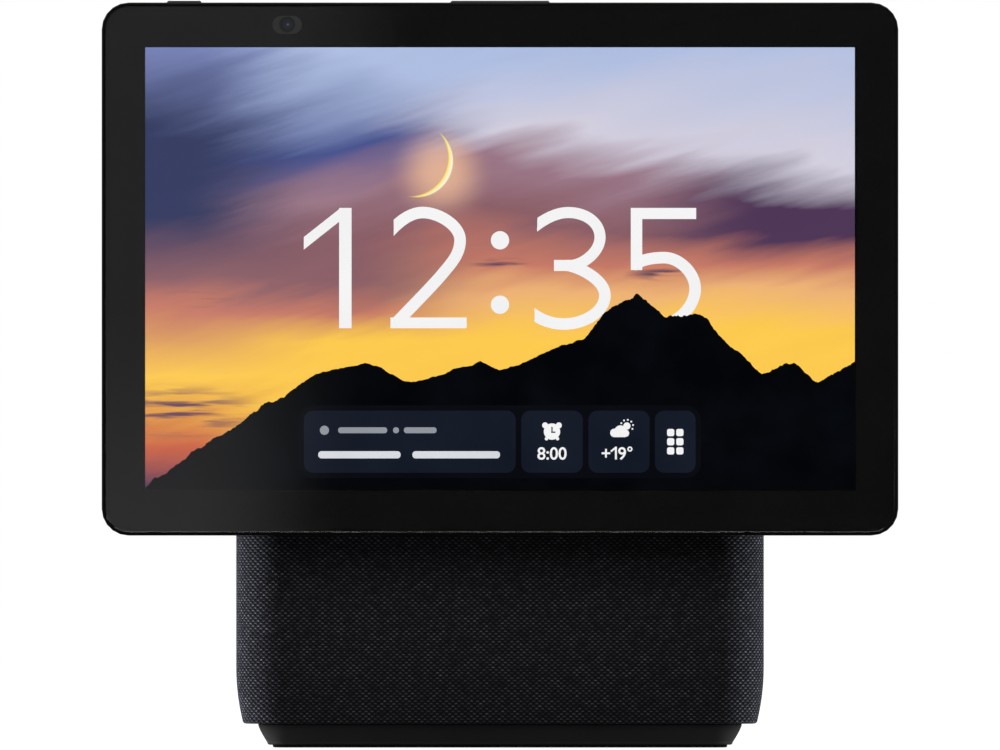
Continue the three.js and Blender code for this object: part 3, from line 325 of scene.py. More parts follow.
def moulded_plastic(name, dark, light, roughness, grain_mm, relief_mm, coat=0.0, specular=0.5):
    """Injection-moulded plastic: a fine eroded grain, and a skin a little more worn in places."""
    material, tree, shader = start_material(
        name, IOR=1.5, Coat_Weight=coat, Coat_Roughness=0.25, Specular_IOR_Level=specular
    )
    place = wire(tree, "TexCoord").outputs["Object"]
    cloud = wire(tree, "TexNoise", {"Vector": place, "Scale": 30.0, "Detail": 4.0})
    shade = wire(tree, "ValToRGB", {0: cloud}, stops=[(0.3, dark), (0.7, light)])
    feed(tree, shader, {"Base Color": shade})
    dull, polished = roughness + 0.05, roughness - 0.04
    spread = {"Value": cloud, "From Min": 0.3, "From Max": 0.7, "To Min": dull, "To Max": polished}
    gloss = wire(tree, "MapRange", spread)
    feed(tree, shader, {"Roughness": gloss})
    grain = wire(tree, "TexNoise", {"Vector": place, "Scale": 1000 / grain_mm, "Detail": 2.0})
    relief = wire(tree, "Bump", {"Strength": 0.4, "Distance": relief_mm / 1000, "Height": grain})
    feed(tree, shader, {"Normal": relief})
    return material


# ABS, satin: an even skin that takes a soft light along its edges
satin_abs = moulded_plastic("satin_moulded_abs", "#2c2c2d", "#343435", 0.42, 0.5, 0.02)
PLINTH_DRAW, PLINTH_ARRIS = 0.0028, 0.0008
low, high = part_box("foot_plinth")
middle_y = (low.y + high.y) / 2
plinth = plate(high.x - low.x + 0.001, high.y - low.y, (0, middle_y, high.z), 0.009, DOWN, 16)
side_height = high.z - low.z - PLINTH_ARRIS
shares = [i / 10 for i in range(11)]
carry([(0, 0.0002)], DOWN)
carry(
    [
        (PLINTH_DRAW * (b**1.3 - a**1.3), (b - a) * (side_height - 0.0002))
        for a, b in zip(shares, shares[1:])
    ]
    + rounding(PLINTH_ARRIS, 5)
    + [(0.0001, 0), (0, -0.0007)],
    DOWN,
)
close_up()
select_parts(plinth, "edges", lambda e: all(v.co.z > high.z - 1e-6 for v in e.verts))
bpy.ops.mesh.bevel(offset=0.0004, segments=3)
close_up()
finish_piece(plinth, "plinth", satin_abs)
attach(plinth, "base")
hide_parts("foot_plinth")

# ---- Cabinet and tray ---------------------------------------------------------------------------
# The sound box and the tray that closes it from below: glass-filled ABS, grey-black, moulded with
# a dull flow pattern, held together by the plinth's screws.


def dress(material, *nodes):
    """Gives CAD nodes, whose shape stays, their finish."""
    for node in nodes:
        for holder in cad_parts[node].material_slots:
            holder.material = material


filled_abs = moulded_plastic("glass_filled_abs", "#1b1c1e", "#26272a", 0.62, 0.8, 0.04)
dress(filled_abs, "cabinet_shell", "base_tray", "radiator_frame_left", "radiator_frame_right")

# ---- Woofer -------------------------------------------------------------------------------------
# A long-throw driver in the front of the cabinet: a stamped basket, a ferrite ring magnet, a
# pressed pulp cone on a rubber roll, and a copper coil on its former.


def worked_metal(name, dark, light, roughness, metallic, lines, relief_mm):
    """Metal with a grain: lines are repeats a metre along X, Y and Z, few along the brushing."""
    material, tree, shader = start_material(name, Metallic=metallic)
    place = wire(tree, "TexCoord").outputs["Object"]
    drawn = wire(tree, "Mapping", {"Vector": place, "Scale": lines})
    grain = wire(tree, "TexNoise", {"Vector": drawn, "Scale": 1.0, "Detail": 4.0})
    shade = wire(tree, "ValToRGB", {0: grain}, stops=[(0.3, dark), (0.7, light)])
    feed(tree, shader, {"Base Color": shade})
    stain = wire(tree, "TexNoise", {"Vector": place, "Scale": 120.0, "Detail": 3.0})
    gloss = wire(tree, "MapRange", {"Value": stain, "To Min": roughness - 0.08, "To Max": roughness + 0.1})
    feed(tree, shader, {"Roughness": gloss})
    relief = wire(tree, "Bump", {"Strength": 0.3, "Distance": relief_mm / 1000, "Height": grain})
    feed(tree, shader, {"Normal": relief})
    return material


coated_steel = worked_metal("black_dip_coated_steel", "#1a1a1c", "#242427", 0.5, 0.2, (900, 900, 900), 0.02)
dress(coated_steel, "woofer_frame", "tweeter_left", "tweeter_right")
sintered_ferrite = worked_metal("sintered_ferrite", "#2a2a2c", "#3b3b3e", 0.72, 0.3, (1600, 1600, 1600), 0.05)
dress(sintered_ferrite, "woofer_magnet")

# pulp: short fibres felted every way under a black coat
pulp, tree, shader = start_material("coated_pulp_cone", Roughness=0.85, Specular_IOR_Level=0.3)
place = wire(tree, "TexCoord").outputs["Object"]
fibres = wire(tree, "TexVoronoi", {"Vector": place, "Scale": 900.0}, feature="DISTANCE_TO_EDGE")
shade = wire(tree, "ValToRGB", {0: fibres}, stops=[(0.0, "#303033"), (0.3, "#1d1d20")])
relief = wire(tree, "Bump", {"Strength": 0.5, "Distance": 0.0001, "Height": fibres})
feed(tree, shader, {"Base Color": shade, "Normal": relief})
dress(pulp, "woofer_diaphragm", "woofer_dust_cap")
dress(foot_rubber, "woofer_surround", "radiator_surround_left", "radiator_surround_right")

# enamelled copper wire, 0.25 mm, wound turn beside turn along the coil; its colour is painted darker in the
# grooves between turns as painted shade and lighter along each turn as a painted highlight
coil_wire, tree, shader = start_material("enamelled_copper_winding", Metallic=1.0, Roughness=0.32)
place = wire(tree, "TexCoord").outputs["Object"]
turns = wire(
    tree, "TexWave", {"Vector": place, "Scale": 4000 / math.tau, "Distortion": 0.1}, bands_direction="Y"
)
shade = wire(tree, "ValToRGB", {0: turns.outputs["Fac"]}, stops=[(0.1, "#5d2c12"), (0.6, "#c4713c")])
feed(tree, shader, {"Base Color": shade})
dress(coil_wire, "woofer_voice_coil")

# ---- Tweeters and passive radiators -------------------------------------------------------------
# Two soft-dome tweeters face forwards, and a weighted aluminium plate on a rubber roll stands in
# each side wall.
doped_silk, tree, shader = start_material(
    "doped_silk_dome", Roughness=0.5, Sheen_Weight=0.3, Sheen_Roughness=0.4, Coat_Weight=0.3
)
place = wire(tree, "TexCoord").outputs["Object"]
threads = wire(
    tree, "TexChecker", {"Vector": place, "Color1": "#1a1a1d", "Color2": "#26262a", "Scale": 3300.0}
)
relief = wire(tree, "Bump", {"Strength": 0.3, "Distance": 0.00005, "Height": threads.outputs["Fac"]})
feed(tree, shader, {"Base Color": threads, "Normal": relief})
dress(doped_silk, "tweeter_dome_left", "tweeter_dome_right")
rolled_aluminium = worked_metal("rolled_aluminium", "#a4a6a9", "#c3c5c8", 0.38, 1.0, (40, 1500, 40), 0.01)
dress(rolled_aluminium, "radiator_plate_left", "radiator_plate_right")

# ---- Boards -------------------------------------------------------------------------------------
# The main board stands behind the cabinet's works, and the amplifier board lies over the tray.
# Both are FR-4 under a green mask, with tinned pads where the parts are soldered.
solder_mask, tree, shader = start_material("green_solder_mask", Roughness=0.35, Coat_Weight=0.4)
place = wire(tree, "TexCoord").outputs["Object"]
turned = wire(tree, "Mapping", {"Vector": place, "Rotation": (math.radians(37), 0, 0)})
tracks = wire(
    tree,
    "TexBrick",
    {
        "Vector": turned,
        "Color1": "#0d3a24",
        "Color2": "#114a2e",
        "Mortar": "#1c6b45",
        "Scale": 1000.0,
        "Mortar Size": 0.25,
        "Brick Width": 7.0,
        "Row Height": 2.6,
    },
)
pads = wire(tree, "TexVoronoi", {"Vector": place, "Scale": 260.0, "Randomness": 0.6}, distance="CHEBYCHEV")
pad = wire(tree, "MapRange", {"Value": pads.outputs["Distance"], "From Min": 0.17, "From Max": 0.15})
shade = wire(tree, "Mix", {"Factor": pad, "A": tracks, "B": "#b9bcbd"}, data_type="RGBA")
feed(tree, shader, {"Base Color": shade.outputs["Result"]})
relief = wire(tree, "Bump", {"Strength": 0.4, "Distance": 0.0001, "Height": tracks.outputs["Fac"]})
feed(tree, shader, {"Normal": relief})
dress(solder_mask, "main_board", "amplifier_board", "display_board")
anodised = worked_metal("black_anodised_extrusion", "#1b1c1e", "#2a2b2e", 0.45, 0.6, (60, 60, 1400), 0.02)
dress(anodised, "heat_sink")
tinplate = worked_metal("tin_plated_steel", "#a9aaa9", "#c2c3c1", 0.3, 1.0, (1300, 60, 60), 0.01)
dress(tinplate, "radio_shield")

# ---- Knitted sleeve -----------------------------------------------------------------------------
# A tube of black polyester spacer mesh, knitted in staggered loops with an open hole under each,
# pulled over the cabinet, sewn up the middle of the rear and tucked under at the foot.
STITCH_WIDTH = 0.00190  # one whole repeat across
STITCH_HEIGHT = 0.00159  # one whole repeat up; more holes stand half-way between
knit, tree, shader = start_material(
    "black_polyester_spacer_mesh",
    Roughness=0.85,
    Specular_IOR_Level=0.25,
    Sheen_Weight=0.32,
    Sheen_Roughness=0.45,
    Sheen_Tint="#b8bccb",
)
cloth = wire(tree, "UVMap", uv_map="cloth")
waver = wire(tree, "TexNoise", {"Vector": cloth, "Scale": 110.0, "Detail": 1.0})
sway = wire(tree, "VectorMath", {0: waver.outputs["Color"], "Scale": 0.0004}, operation="SCALE")
moved = wire(tree, "VectorMath", {0: cloth, 1: sway}, operation="ADD")
counted = wire(tree, "Mapping", {"Vector": moved, "Scale": (1 / STITCH_WIDTH, 1 / STITCH_HEIGHT, 1)})
turned = wire(tree, "VectorMath", {0: counted, "Scale": math.tau}, operation="SCALE")
waves = wire(tree, "VectorMath", {0: turned}, operation="COSINE")
wave = wire(tree, "SeparateXYZ", {0: waves})
lattice = wire(tree, "Math", {0: wave.outputs["X"], 1: wave.outputs["Y"]}, operation="MULTIPLY")
hole = wire(
    tree,
    "MapRange",
    {"Value": lattice, "From Min": -0.05, "From Max": 0.45},
    interpolation_type="SMOOTHSTEP",
)
lifted = wire(tree, "VectorMath", {0: turned, 1: (0, -1.5, 0)}, operation="ADD")
arches = wire(tree, "VectorMath", {0: lifted}, operation="COSINE")
arch = wire(tree, "SeparateXYZ", {0: arches})
over = wire(tree, "Math", {0: arch.outputs["X"], 1: arch.outputs["Y"]}, operation="MULTIPLY")
rise = wire(
    tree, "MapRange", {"Value": over, "From Min": -0.1, "From Max": 0.8}, interpolation_type="SMOOTHSTEP"
)
closed = wire(tree, "Math", {0: 1.0, 1: hole}, operation="SUBTRACT")
yarn_top = wire(tree, "Math", {0: rise, 1: closed}, operation="MULTIPLY")
# each stitch takes the light a little differently: its number is the rounded sum and difference
number = wire(tree, "SeparateXYZ", {0: counted})
total = wire(tree, "Math", {0: number.outputs["X"], 1: number.outputs["Y"]}, operation="ADD")
spare = wire(tree, "Math", {0: number.outputs["X"], 1: number.outputs["Y"]}, operation="SUBTRACT")
pair = wire(tree, "CombineXYZ", {0: total, 1: spare})
half_on = wire(tree, "VectorMath", {0: pair, 1: (0.5, 0.5, 0)}, operation="ADD")
stitch = wire(tree, "VectorMath", {0: half_on}, operation="FLOOR")
chance = wire(tree, "TexWhiteNoise", {"Vector": stitch}, noise_dimensions="2D")
lustre = wire(tree, "MapRange", {"Value": chance.outputs["Value"], "To Min": 0.5, "To Max": 1.8})
mottle = wire(tree, "TexNoise", {"Vector": cloth, "Scale": 300.0, "Detail": 3.0})
yarn = wire(tree, "ValToRGB", {0: mottle}, stops=[(0.32, "#363a3f"), (0.5, "#46464d"), (0.68, "#595965")])
# painted shade: the yarn is darkened to near black in the creases between the loop tops, and the open holes
# are painted almost black for the shade inside them
loops = wire(tree, "Mix", {"Factor": yarn_top, "A": "#0c0c0f", "B": yarn}, data_type="RGBA")
lit = wire(tree, "VectorMath", {0: loops.outputs["Result"], "Scale": lustre}, operation="SCALE")
knitted = wire(tree, "Mix", {"Factor": hole, "A": lit, "B": "#020203"}, data_type="RGBA")
feed(tree, shader, {"Base Color": knitted.outputs["Result"]})
stand = wire(tree, "Math", {0: yarn_top, 1: hole}, operation="SUBTRACT")
relief = wire(tree, "Bump", {"Strength": 0.7, "Distance": 0.0004, "Height": stand})
feed(tree, shader, {"Normal": relief})

low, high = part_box("fabric_sleeve")
HALF_WIDTH, FRONT_Y, BACK_Y, TOP_Z, HEM_Z = high.x + 0.0004, low.y, high.y, high.z, low.z
FRONT_CORNER, REAR_CORNER, SHOULDER = 0.0135, 0.026, 0.016
KNEE_Z, KNEE_RADIUS, LEAN = 0.100, 0.040, math.radians(25)
TUCK_HEIGHT, TUCK_RADIUS, HEM_ROUND, HEM_TURN = 0.0172, 0.068, 0.0011, 0.0045
CLOTH_THICKNESS = 0.0012


def lean_at(z):
    """How far the front has leant back at a height."""
    rise = max(z - KNEE_Z, 0)
    arc = min(rise, KNEE_RADIUS * math.sin(LEAN))
    return KNEE_RADIUS - math.sqrt(KNEE_RADIUS**2 - arc**2) + (rise - arc) * math.tan(LEAN)


def section_points():
    """Height and inset up the sleeve's section, from under the hem to the edge of the top."""
    tucked = lambda z: max(HEM_Z + TUCK_HEIGHT - z, 0) ** 2 / (2 * TUCK_RADIUS)
    wall_z, top_z = HEM_Z + HEM_ROUND, TOP_Z - SHOULDER
    base = tucked(wall_z) + HEM_ROUND
    points = [(HEM_Z, base + HEM_TURN * (1 - i / 3)) for i in range(3)]
    for i in range(7):
        a = math.pi / 2 * i / 6
        points.append((wall_z - HEM_ROUND * math.cos(a), base - HEM_ROUND * math.sin(a)))
    for i in range(1, 121):
        z = wall_z + (top_z - wall_z) * i / 120
        points.append((z, tucked(z)))
    for i in range(1, 17):
        a = math.pi / 2 * i / 16
        points.append((top_z + SHOULDER * math.sin(a), SHOULDER * (1 - math.cos(a))))
    return points


def outline_points(inset, setback):
    """The sleeve's outline, from the middle of the rear by the left side and the front."""
    x, y_rear, y_front = HALF_WIDTH - inset, BACK_Y - inset, FRONT_Y + inset + setback
    rear, front = REAR_CORNER - 0.9 * inset, FRONT_CORNER - 0.5 * inset
    half = []
    for i in range(24):
        half.append((-(x - rear) * i / 24, y_rear))
    for i in range(17):
        a = math.pi / 2 * i / 16
        half.append((-(x - rear) - rear * math.sin(a), y_rear - rear + rear * math.cos(a)))
    for i in range(1, 40):
        half.append((-x, y_rear - rear + (y_front + front - y_rear + rear) * i / 40))
    for i in range(17):
        a = math.pi / 2 * i / 16
        half.append((-(x - front) - front * math.cos(a), y_front + front - front * math.sin(a)))
    for i in range(1, 41):
        half.append((-(x - front) * (1 - i / 40), y_front))
    return half + [(-px, py) for px, py in reversed(half[:-1])]


section = section_points()
ring_count = len(outline_points(0, 0))
bpy.ops.object.select_all(action="DESELECT")
bpy.ops.mesh.primitive_grid_add(x_subdivisions=ring_count - 1, y_subdivisions=len(section) - 1, size=2)
sleeve = bpy.context.object
cloth_places = [None] * len(sleeve.data.vertices)
run = 0.0
for row, (z, inset) in enumerate(section):
    if row:
        run += math.hypot(z - section[row - 1][0], inset - section[row - 1][1])
    ring = outline_points(inset, lean_at(z))
    # the rear seam is drawn in a little by its thread
    along = [0.0]
    for a, b in zip(ring, ring[1:]):
        along.append(along[-1] + math.dist(a, b))
    for column, (x, y) in enumerate(ring):
        index = row * ring_count + column
        pull = 0.0004 * math.exp(-((x / 0.0012) ** 2)) if y > 0 else 0.0
        sleeve.data.vertices[index].co = (x, y - pull, z)
        cloth_places[index] = (along[column] - along[-1] / 2, run)
cloth_map = sleeve.data.uv_layers.active
cloth_map.name = "cloth"
for corner, where in zip(sleeve.data.loops, cloth_map.data):
    where.uv = cloth_places[corner.vertex_index]

# it is cut away behind the hinge's shroud in front and round the power inlet at the rear
openings = []
for node, margin, corner in (("hinge_shroud", 0.0016, 0.005), ("rear_port_panel", 0.0004, 0.0058)):
    low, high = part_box(node)
    openings.append(((low + high) / 2, (high - low) / 2 - Vector((margin,) * 3), corner, low.y < 0))


def is_cut_away(face):
    """Whether a face lies inside one of the rounded openings."""
    at = face.calc_center_median()
    for centre, half, corner, front in openings:
        beyond = [max(abs(at[i] - centre[i]) - half[i] + corner, 0) for i in (0, 2)]
        if math.hypot(*beyond) < corner and (at.y < 0) == front and abs(at.y) > 0.03:
            return True
    return False


bpy.ops.object.mode_set(mode="EDIT")
select_parts(sleeve, "faces", is_cut_away)
bpy.ops.mesh.delete(type="FACE")
bpy.ops.mesh.select_all(action="SELECT")
bpy.ops.mesh.normals_make_consistent(inside=False)
bpy.ops.object.mode_set(mode="OBJECT")
outward = sum(p.normal.y * p.area for p in sleeve.data.polygons if p.center.y > BACK_Y - 0.001)
modify(sleeve, "SOLIDIFY", thickness=CLOTH_THICKNESS, offset=-1 if outward > 0 else 1)
finish_piece(sleeve, "knit_sleeve", knit, 60)
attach(sleeve, "base")
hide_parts("fabric_sleeve")

# ---- Top of the sleeve --------------------------------------------------------------------------
# A flat piece of the same mesh closes the top. It is linked to the tube stitch by stitch, which
# leaves a fine sunk line all round.
ring = outline_points(SHOULDER, lean_at(TOP_Z))
top_width = 2 * (HALF_WIDTH - SHOULDER)
top_depth = max(y for _, y in ring) - min(y for _, y in ring)
top_middle = (max(y for _, y in ring) + min(y for _, y in ring)) / 2
top_cloth = plate(top_width, top_depth, (0, top_middle, TOP_Z - 0.0005), 0.0, UP)
select_parts(top_cloth, "verts", lambda v: v.co.y > top_middle)
bpy.ops.mesh.bevel(offset=REAR_CORNER - 0.9 * SHOULDER, segments=16, affect="VERTICES")
select_parts(top_cloth, "verts", lambda v: v.co.y < top_middle - 0.499 * top_depth)
bpy.ops.mesh.bevel(offset=FRONT_CORNER - 0.5 * SHOULDER, segments=16, affect="VERTICES")
bpy.ops.mesh.select_all(action="SELECT")
carry([(0.0003, 0.0001), (0.0004, 0.0002), (0.0008, 0.0002)], UP)
bpy.ops.object.mode_set(mode="OBJECT")
modify(top_cloth, "SOLIDIFY", thickness=CLOTH_THICKNESS - 0.0002, offset=-1)
top_map = top_cloth.data.uv_layers.active or top_cloth.data.uv_layers.new()
top_map.name = "cloth"
for corner, where in zip(top_cloth.data.loops, top_map.data):
    where.uv = top_cloth.data.vertices[corner.vertex_index].co.xy
finish_piece(top_cloth, "knit_top", knit, 60)
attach(top_cloth, "base")

# ---- Rear seam thread ---------------------------------------------------------------------------
# The sleeve is closed up the middle of the rear by a lockstitch in black polyester thread, one
# stitch every 3 mm.
seam_thread = moulded_plastic("bonded_polyester_thread", "#17171a", "#242428", 0.55, 0.15, 0.05)
low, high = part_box("rear_port_panel")
STITCH_PITCH, THREAD = 0.003, 0.00045
bpy.ops.object.select_all(action="DESELECT")
bpy.ops.mesh.primitive_cylinder_add(
    vertices=8, radius=THREAD / 2, depth=STITCH_PITCH * 0.72, location=(0, BACK_Y - 0.00022, high.z + 0.0025)
)
thread = bpy.context.object
bpy.ops.object.mode_set(mode="EDIT")
select_parts(thread, "faces", lambda f: abs(f.normal.z) > 0.9)
bpy.ops.mesh.inset(thickness=THREAD * 0.2)
bpy.ops.transform.resize(value=(1, 1, 1.12), center_override=(0, BACK_Y, high.z + 0.0025))
bpy.ops.transform.translate(value=(0, -0.0003, 0))
bpy.ops.object.mode_set(mode="OBJECT")
bpy.ops.object.transform_apply(location=True)
modify(
    thread,
    "ARRAY",
    use_relative_offset=False,
    use_constant_offset=True,
    constant_offset_displace=(0, 0, STITCH_PITCH),
    count=int((TOP_Z - SHOULDER - high.z - 0.004) / STITCH_PITCH),
)
finish_piece(thread, "rear_seam_thread", seam_thread, 60)
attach(thread, "base")

# ---- Hinge --------------------------------------------------------------------------------------
# The display tilts on a steel pin between two ears of a pressed bracket, which is screwed to the
# cabinet's front. Washers under the nuts hold it with friction; a moulded shroud dresses the slot.
zinc_plate = worked_metal("zinc_plated_steel", "#8b8d90", "#a9abae", 0.34, 1.0, (60, 60, 1400), 0.01)
turned_steel = worked_metal("turned_steel", "#9a9b9d", "#b8b9bb", 0.25, 1.0, (2200, 90, 90), 0.01)
dress(zinc_plate, "hinge_bracket", "hinge_plate", "bracket_screw_1", "bracket_screw_2", "bracket_screw_3")
dress(zinc_plate, "bracket_screw_4", "plate_screw_left", "plate_screw_right")
dress(turned_steel, "hinge_pin", "hinge_nut_left", "hinge_nut_right", "rocker_pin")
dress(coated_steel, "hinge_washer_left", "hinge_washer_right")
textured_abs = moulded_plastic("spark_eroded_black_abs", "#131314", "#1a1a1b", 0.55, 0.45, 0.05)
dress(textured_abs, "hinge_shroud", "rear_port_panel", "power_jack")

# polyimide ribbon: amber film over flat copper tracks, 0.8 mm apart
flex_film, tree, shader = start_material("polyimide_flex_film", Roughness=0.3, Coat_Weight=0.5)
place = wire(tree, "TexCoord").outputs["Object"]
axes = wire(tree, "SeparateXYZ", {0: place})
rows = wire(tree, "Math", {0: axes.outputs["X"], 1: 1250 * math.tau}, operation="MULTIPLY")
track = wire(tree, "Math", {0: rows}, operation="SINE")
shade = wire(tree, "ValToRGB", {0: track}, stops=[(0.0, "#5a3310"), (0.25, "#8a5a22")])
relief = wire(tree, "Bump", {"Strength": 0.3, "Distance": 0.00005, "Height": track})
feed(tree, shader, {"Base Color": shade, "Normal": relief})
dress(flex_film, "display_ribbon")

# ---- Display housing ----------------------------------------------------------------------------
# A moulded frame holds the glass, the panel and a plated steel chassis, and the back cover snaps on
# behind. Frame and cover are black ABS with a fine eroded grain.
frame_abs = moulded_plastic("satin_black_abs_frame", "#070708", "#0b0b0c", 0.45, 0.4, 0.01, specular=0.1)
dress(frame_abs, "display_frame")
dress(textured_abs, "display_back_cover")
dress(zinc_plate, "display_chassis")
dress(tinplate, "microphone_left", "microphone_right", "volume_switch_down", "volume_switch_up")

# ---- Liquid crystal panel -----------------------------------------------------------------------
# The panel and its backlight: coated glass and a stack of white films in a thin tray. The lit
# picture is built up in layers in front of it, one behind the other, as a printed card would be.
panel_glass, tree, shader = start_material("polariser_film", Roughness=0.25, Base_Color="#08080a")
place = wire(tree, "TexCoord").outputs["Object"]
cells = wire(
    tree,
    "TexBrick",
    {
        "Vector": place,
        "Color1": "#08080b",
        "Color2": "#0a0a0c",
        "Mortar": "#050506",
        "Scale": 1000.0,
        "Mortar Size": 0.03,
        "Brick Width": 0.5,
        "Row Height": 0.5,
    },
)
feed(tree, shader, {"Base Color": cells})
dress(panel_glass, "lcd_panel")
dress(rolled_aluminium, "backlight_unit")

GLASS_BACK_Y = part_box("cover_glass")[1].y
PICTURE_WIDTH, PICTURE_LOW, PICTURE_HIGH = 0.2170, 0.0792, 0.2145
PICTURE_HEIGHT = PICTURE_HIGH - PICTURE_LOW
SCREEN_GAIN = 1.06  # makes up for what the glass takes
layer_y = {
    "mask": GLASS_BACK_Y + 0.00002,
    "signs": GLASS_BACK_Y + 0.00006,
    "cards": GLASS_BACK_Y + 0.00009,
    "bar": GLASS_BACK_Y + 0.00012,
    "ridge": GLASS_BACK_Y + 0.00015,
    "clock": GLASS_BACK_Y + 0.00018,
    "sky": GLASS_BACK_Y + 0.00021,
}
LAYER = 0.000015


def lit_plate(width, height, x, z, layer, corner=0.0, segments=8):
    """A thin plate of the picture, centred at x and z, left in object mode."""
    made = plate(width, height, (x, layer_y[layer], z), corner, FORWARD, segments)
    carry([(0, LAYER)], BACKWARD)
    close_up()
    bpy.ops.object.mode_set(mode="OBJECT")
    return made


def joined(pieces):
    """Several meshes made one."""
    bpy.ops.object.select_all(action="DESELECT")
    for piece in pieces:
        piece.select_set(True)
    bpy.context.view_layer.objects.active = pieces[0]
    if len(pieces) > 1:
        bpy.ops.object.join()
    return pieces[0]


def add_layer(piece, name, material):
    """Finishes a layer of the picture and fixes it to the display."""
    finish_piece(piece, name, material)
    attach(piece, "display")


# the evening sky: four upright colour scales, blended across and drawn out along slanted streaks
sky_light, tree, shader = start_material("lit_evening_sky", Base_Color="#000000", Specular_IOR_Level=0.0)
place = wire(tree, "TexCoord").outputs["Object"]
axes = wire(tree, "SeparateXYZ", {0: place})
slant = wire(tree, "Mapping", {"Vector": place, "Rotation": (0, math.radians(17), 0)})
broad = wire(tree, "Mapping", {"Vector": slant, "Scale": (9, 1, 42)})
fine = wire(tree, "Mapping", {"Vector": slant, "Scale": (16, 1, 150)})
bands = wire(tree, "TexNoise", {"Vector": broad, "Scale": 1.0, "Detail": 3.0})
wisps = wire(tree, "TexNoise", {"Vector": fine, "Scale": 1.0, "Detail": 5.0, "Roughness": 0.6})
sway = wire(tree, "Math", {0: bands, 1: 0.5}, operation="SUBTRACT")
flick = wire(tree, "Math", {0: wisps, 1: 0.5}, operation="SUBTRACT")
height = wire(
    tree, "MapRange", {"Value": axes.outputs["Z"], "From Min": PICTURE_LOW, "From Max": PICTURE_HIGH}
)
sky_calm = wire(
    tree, "MapRange", {"Value": height, "From Min": 0.25, "From Max": 0.55, "To Min": 0.04, "To Max": 0.26}
)
swayed = wire(tree, "Math", {0: sway, 1: sky_calm}, operation="MULTIPLY")
flicked = wire(tree, "Math", {0: flick, 1: 0.075}, operation="MULTIPLY")
first = wire(tree, "Math", {0: height, 1: swayed}, operation="ADD")
level = wire(tree, "Math", {0: first, 1: flicked}, operation="ADD")
PLUM, EMBER, GOLD, APRICOT = "#503858", "#cc6444", "#ffcc50", "#f0b478"
CORAL, ROSE, MAUVE, LILAC = "#c87c68", "#8c6068", "#9c7888", "#d4d0e0"
INDIGO, DUSK_BLUE, PERIWINKLE, PALE_BLUE = "#303860", "#485490", "#7884b8", "#b0c0e4"
scales = []
for stops in (
    # far left: a dusk-blue bank over a red horizon
    [
        (0.0, PLUM), (0.1, EMBER), (0.26, GOLD), (0.4, CORAL),
        (0.48, ROSE), (0.64, INDIGO), (0.8, INDIGO), (1.0, PERIWINKLE),
    ],
    # left of the middle: rose haze under blue
    [
        (0.0, GOLD), (0.34, GOLD), (0.4, CORAL), (0.46, ROSE),
        (0.56, ROSE), (0.66, MAUVE), (0.76, DUSK_BLUE), (1.0, PALE_BLUE),
    ],
    # right of the middle: pale lilac over mauve
    [
        (0.0, GOLD), (0.34, GOLD), (0.44, APRICOT), (0.5, CORAL),
        (0.6, ROSE), (0.7, MAUVE), (0.8, LILAC), (1.0, PALE_BLUE),
    ],
    # far right: a plum-dark bank, then pale cloud
    [
        (0.0, GOLD), (0.36, GOLD), (0.46, APRICOT), (0.52, CORAL),
        (0.6, PLUM), (0.66, PLUM), (0.76, LILAC), (1.0, PALE_BLUE),
    ],
):
    scales.append(wire(tree, "ValToRGB", {0: level}, stops=stops))
blend = scales[0]
across = wire(tree, "Math", {0: flick, 1: 0.03}, operation="MULTIPLY")
side = wire(tree, "Math", {0: axes.outputs["X"], 1: across}, operation="ADD")
for scale, start, end in ((scales[1], -0.095, -0.050), (scales[2], -0.045, 0.005), (scales[3], 0.030, 0.080)):
    share = wire(
        tree,
        "MapRange",
        {"Value": side, "From Min": start, "From Max": end},
        interpolation_type="SMOOTHSTEP",
    )
    blend = wire(tree, "Mix", {"Factor": share, "A": blend, "B": scale}, data_type="RGBA").outputs["Result"]
shimmer = wire(tree, "MapRange", {"Value": wisps, "To Min": 0.94, "To Max": 1.06})
streaked = wire(tree, "VectorMath", {0: blend, "Scale": shimmer}, operation="SCALE")
# thin dark clouds low on the left and two above the ridge
thin = wire(tree, "Mapping", {"Vector": place, "Scale": (36, 1, 420)})
scraps = wire(tree, "TexNoise", {"Vector": thin, "Scale": 1.0, "Detail": 3.0})
scrap = wire(
    tree, "MapRange", {"Value": scraps, "From Min": 0.44, "From Max": 0.60}, interpolation_type="SMOOTHSTEP"
)
zone = None
for x, z, wide, high in (
    (-0.098, 0.1030, 0.030, 0.0100), (-0.094, 0.1375, 0.014, 0.0030),
    (0.002, 0.1480, 0.014, 0.0028), (0.050, 0.1452, 0.014, 0.0026),
):
    spot = wire(
        tree,
        "Mapping",
        {"Vector": place, "Location": (-x / wide, 0, -z / high), "Scale": (1 / wide, 0, 1 / high)},
    )
    far = wire(tree, "VectorMath", {0: spot}, operation="LENGTH")
    near = wire(
        tree,
        "MapRange",
        {"Value": far.outputs["Value"], "From Min": 1.0, "From Max": 0.2, "To Max": 1.0},
        interpolation_type="SMOOTHSTEP",
    )
    zone = near if zone is None else wire(tree, "Math", {0: zone, 1: near}, operation="MAXIMUM")
patch = wire(tree, "Math", {0: zone, 1: scrap}, operation="MULTIPLY")
shaded = wire(tree, "Mix", {"Factor": patch, "A": streaked, "B": "#6a4a5c"}, data_type="RGBA")
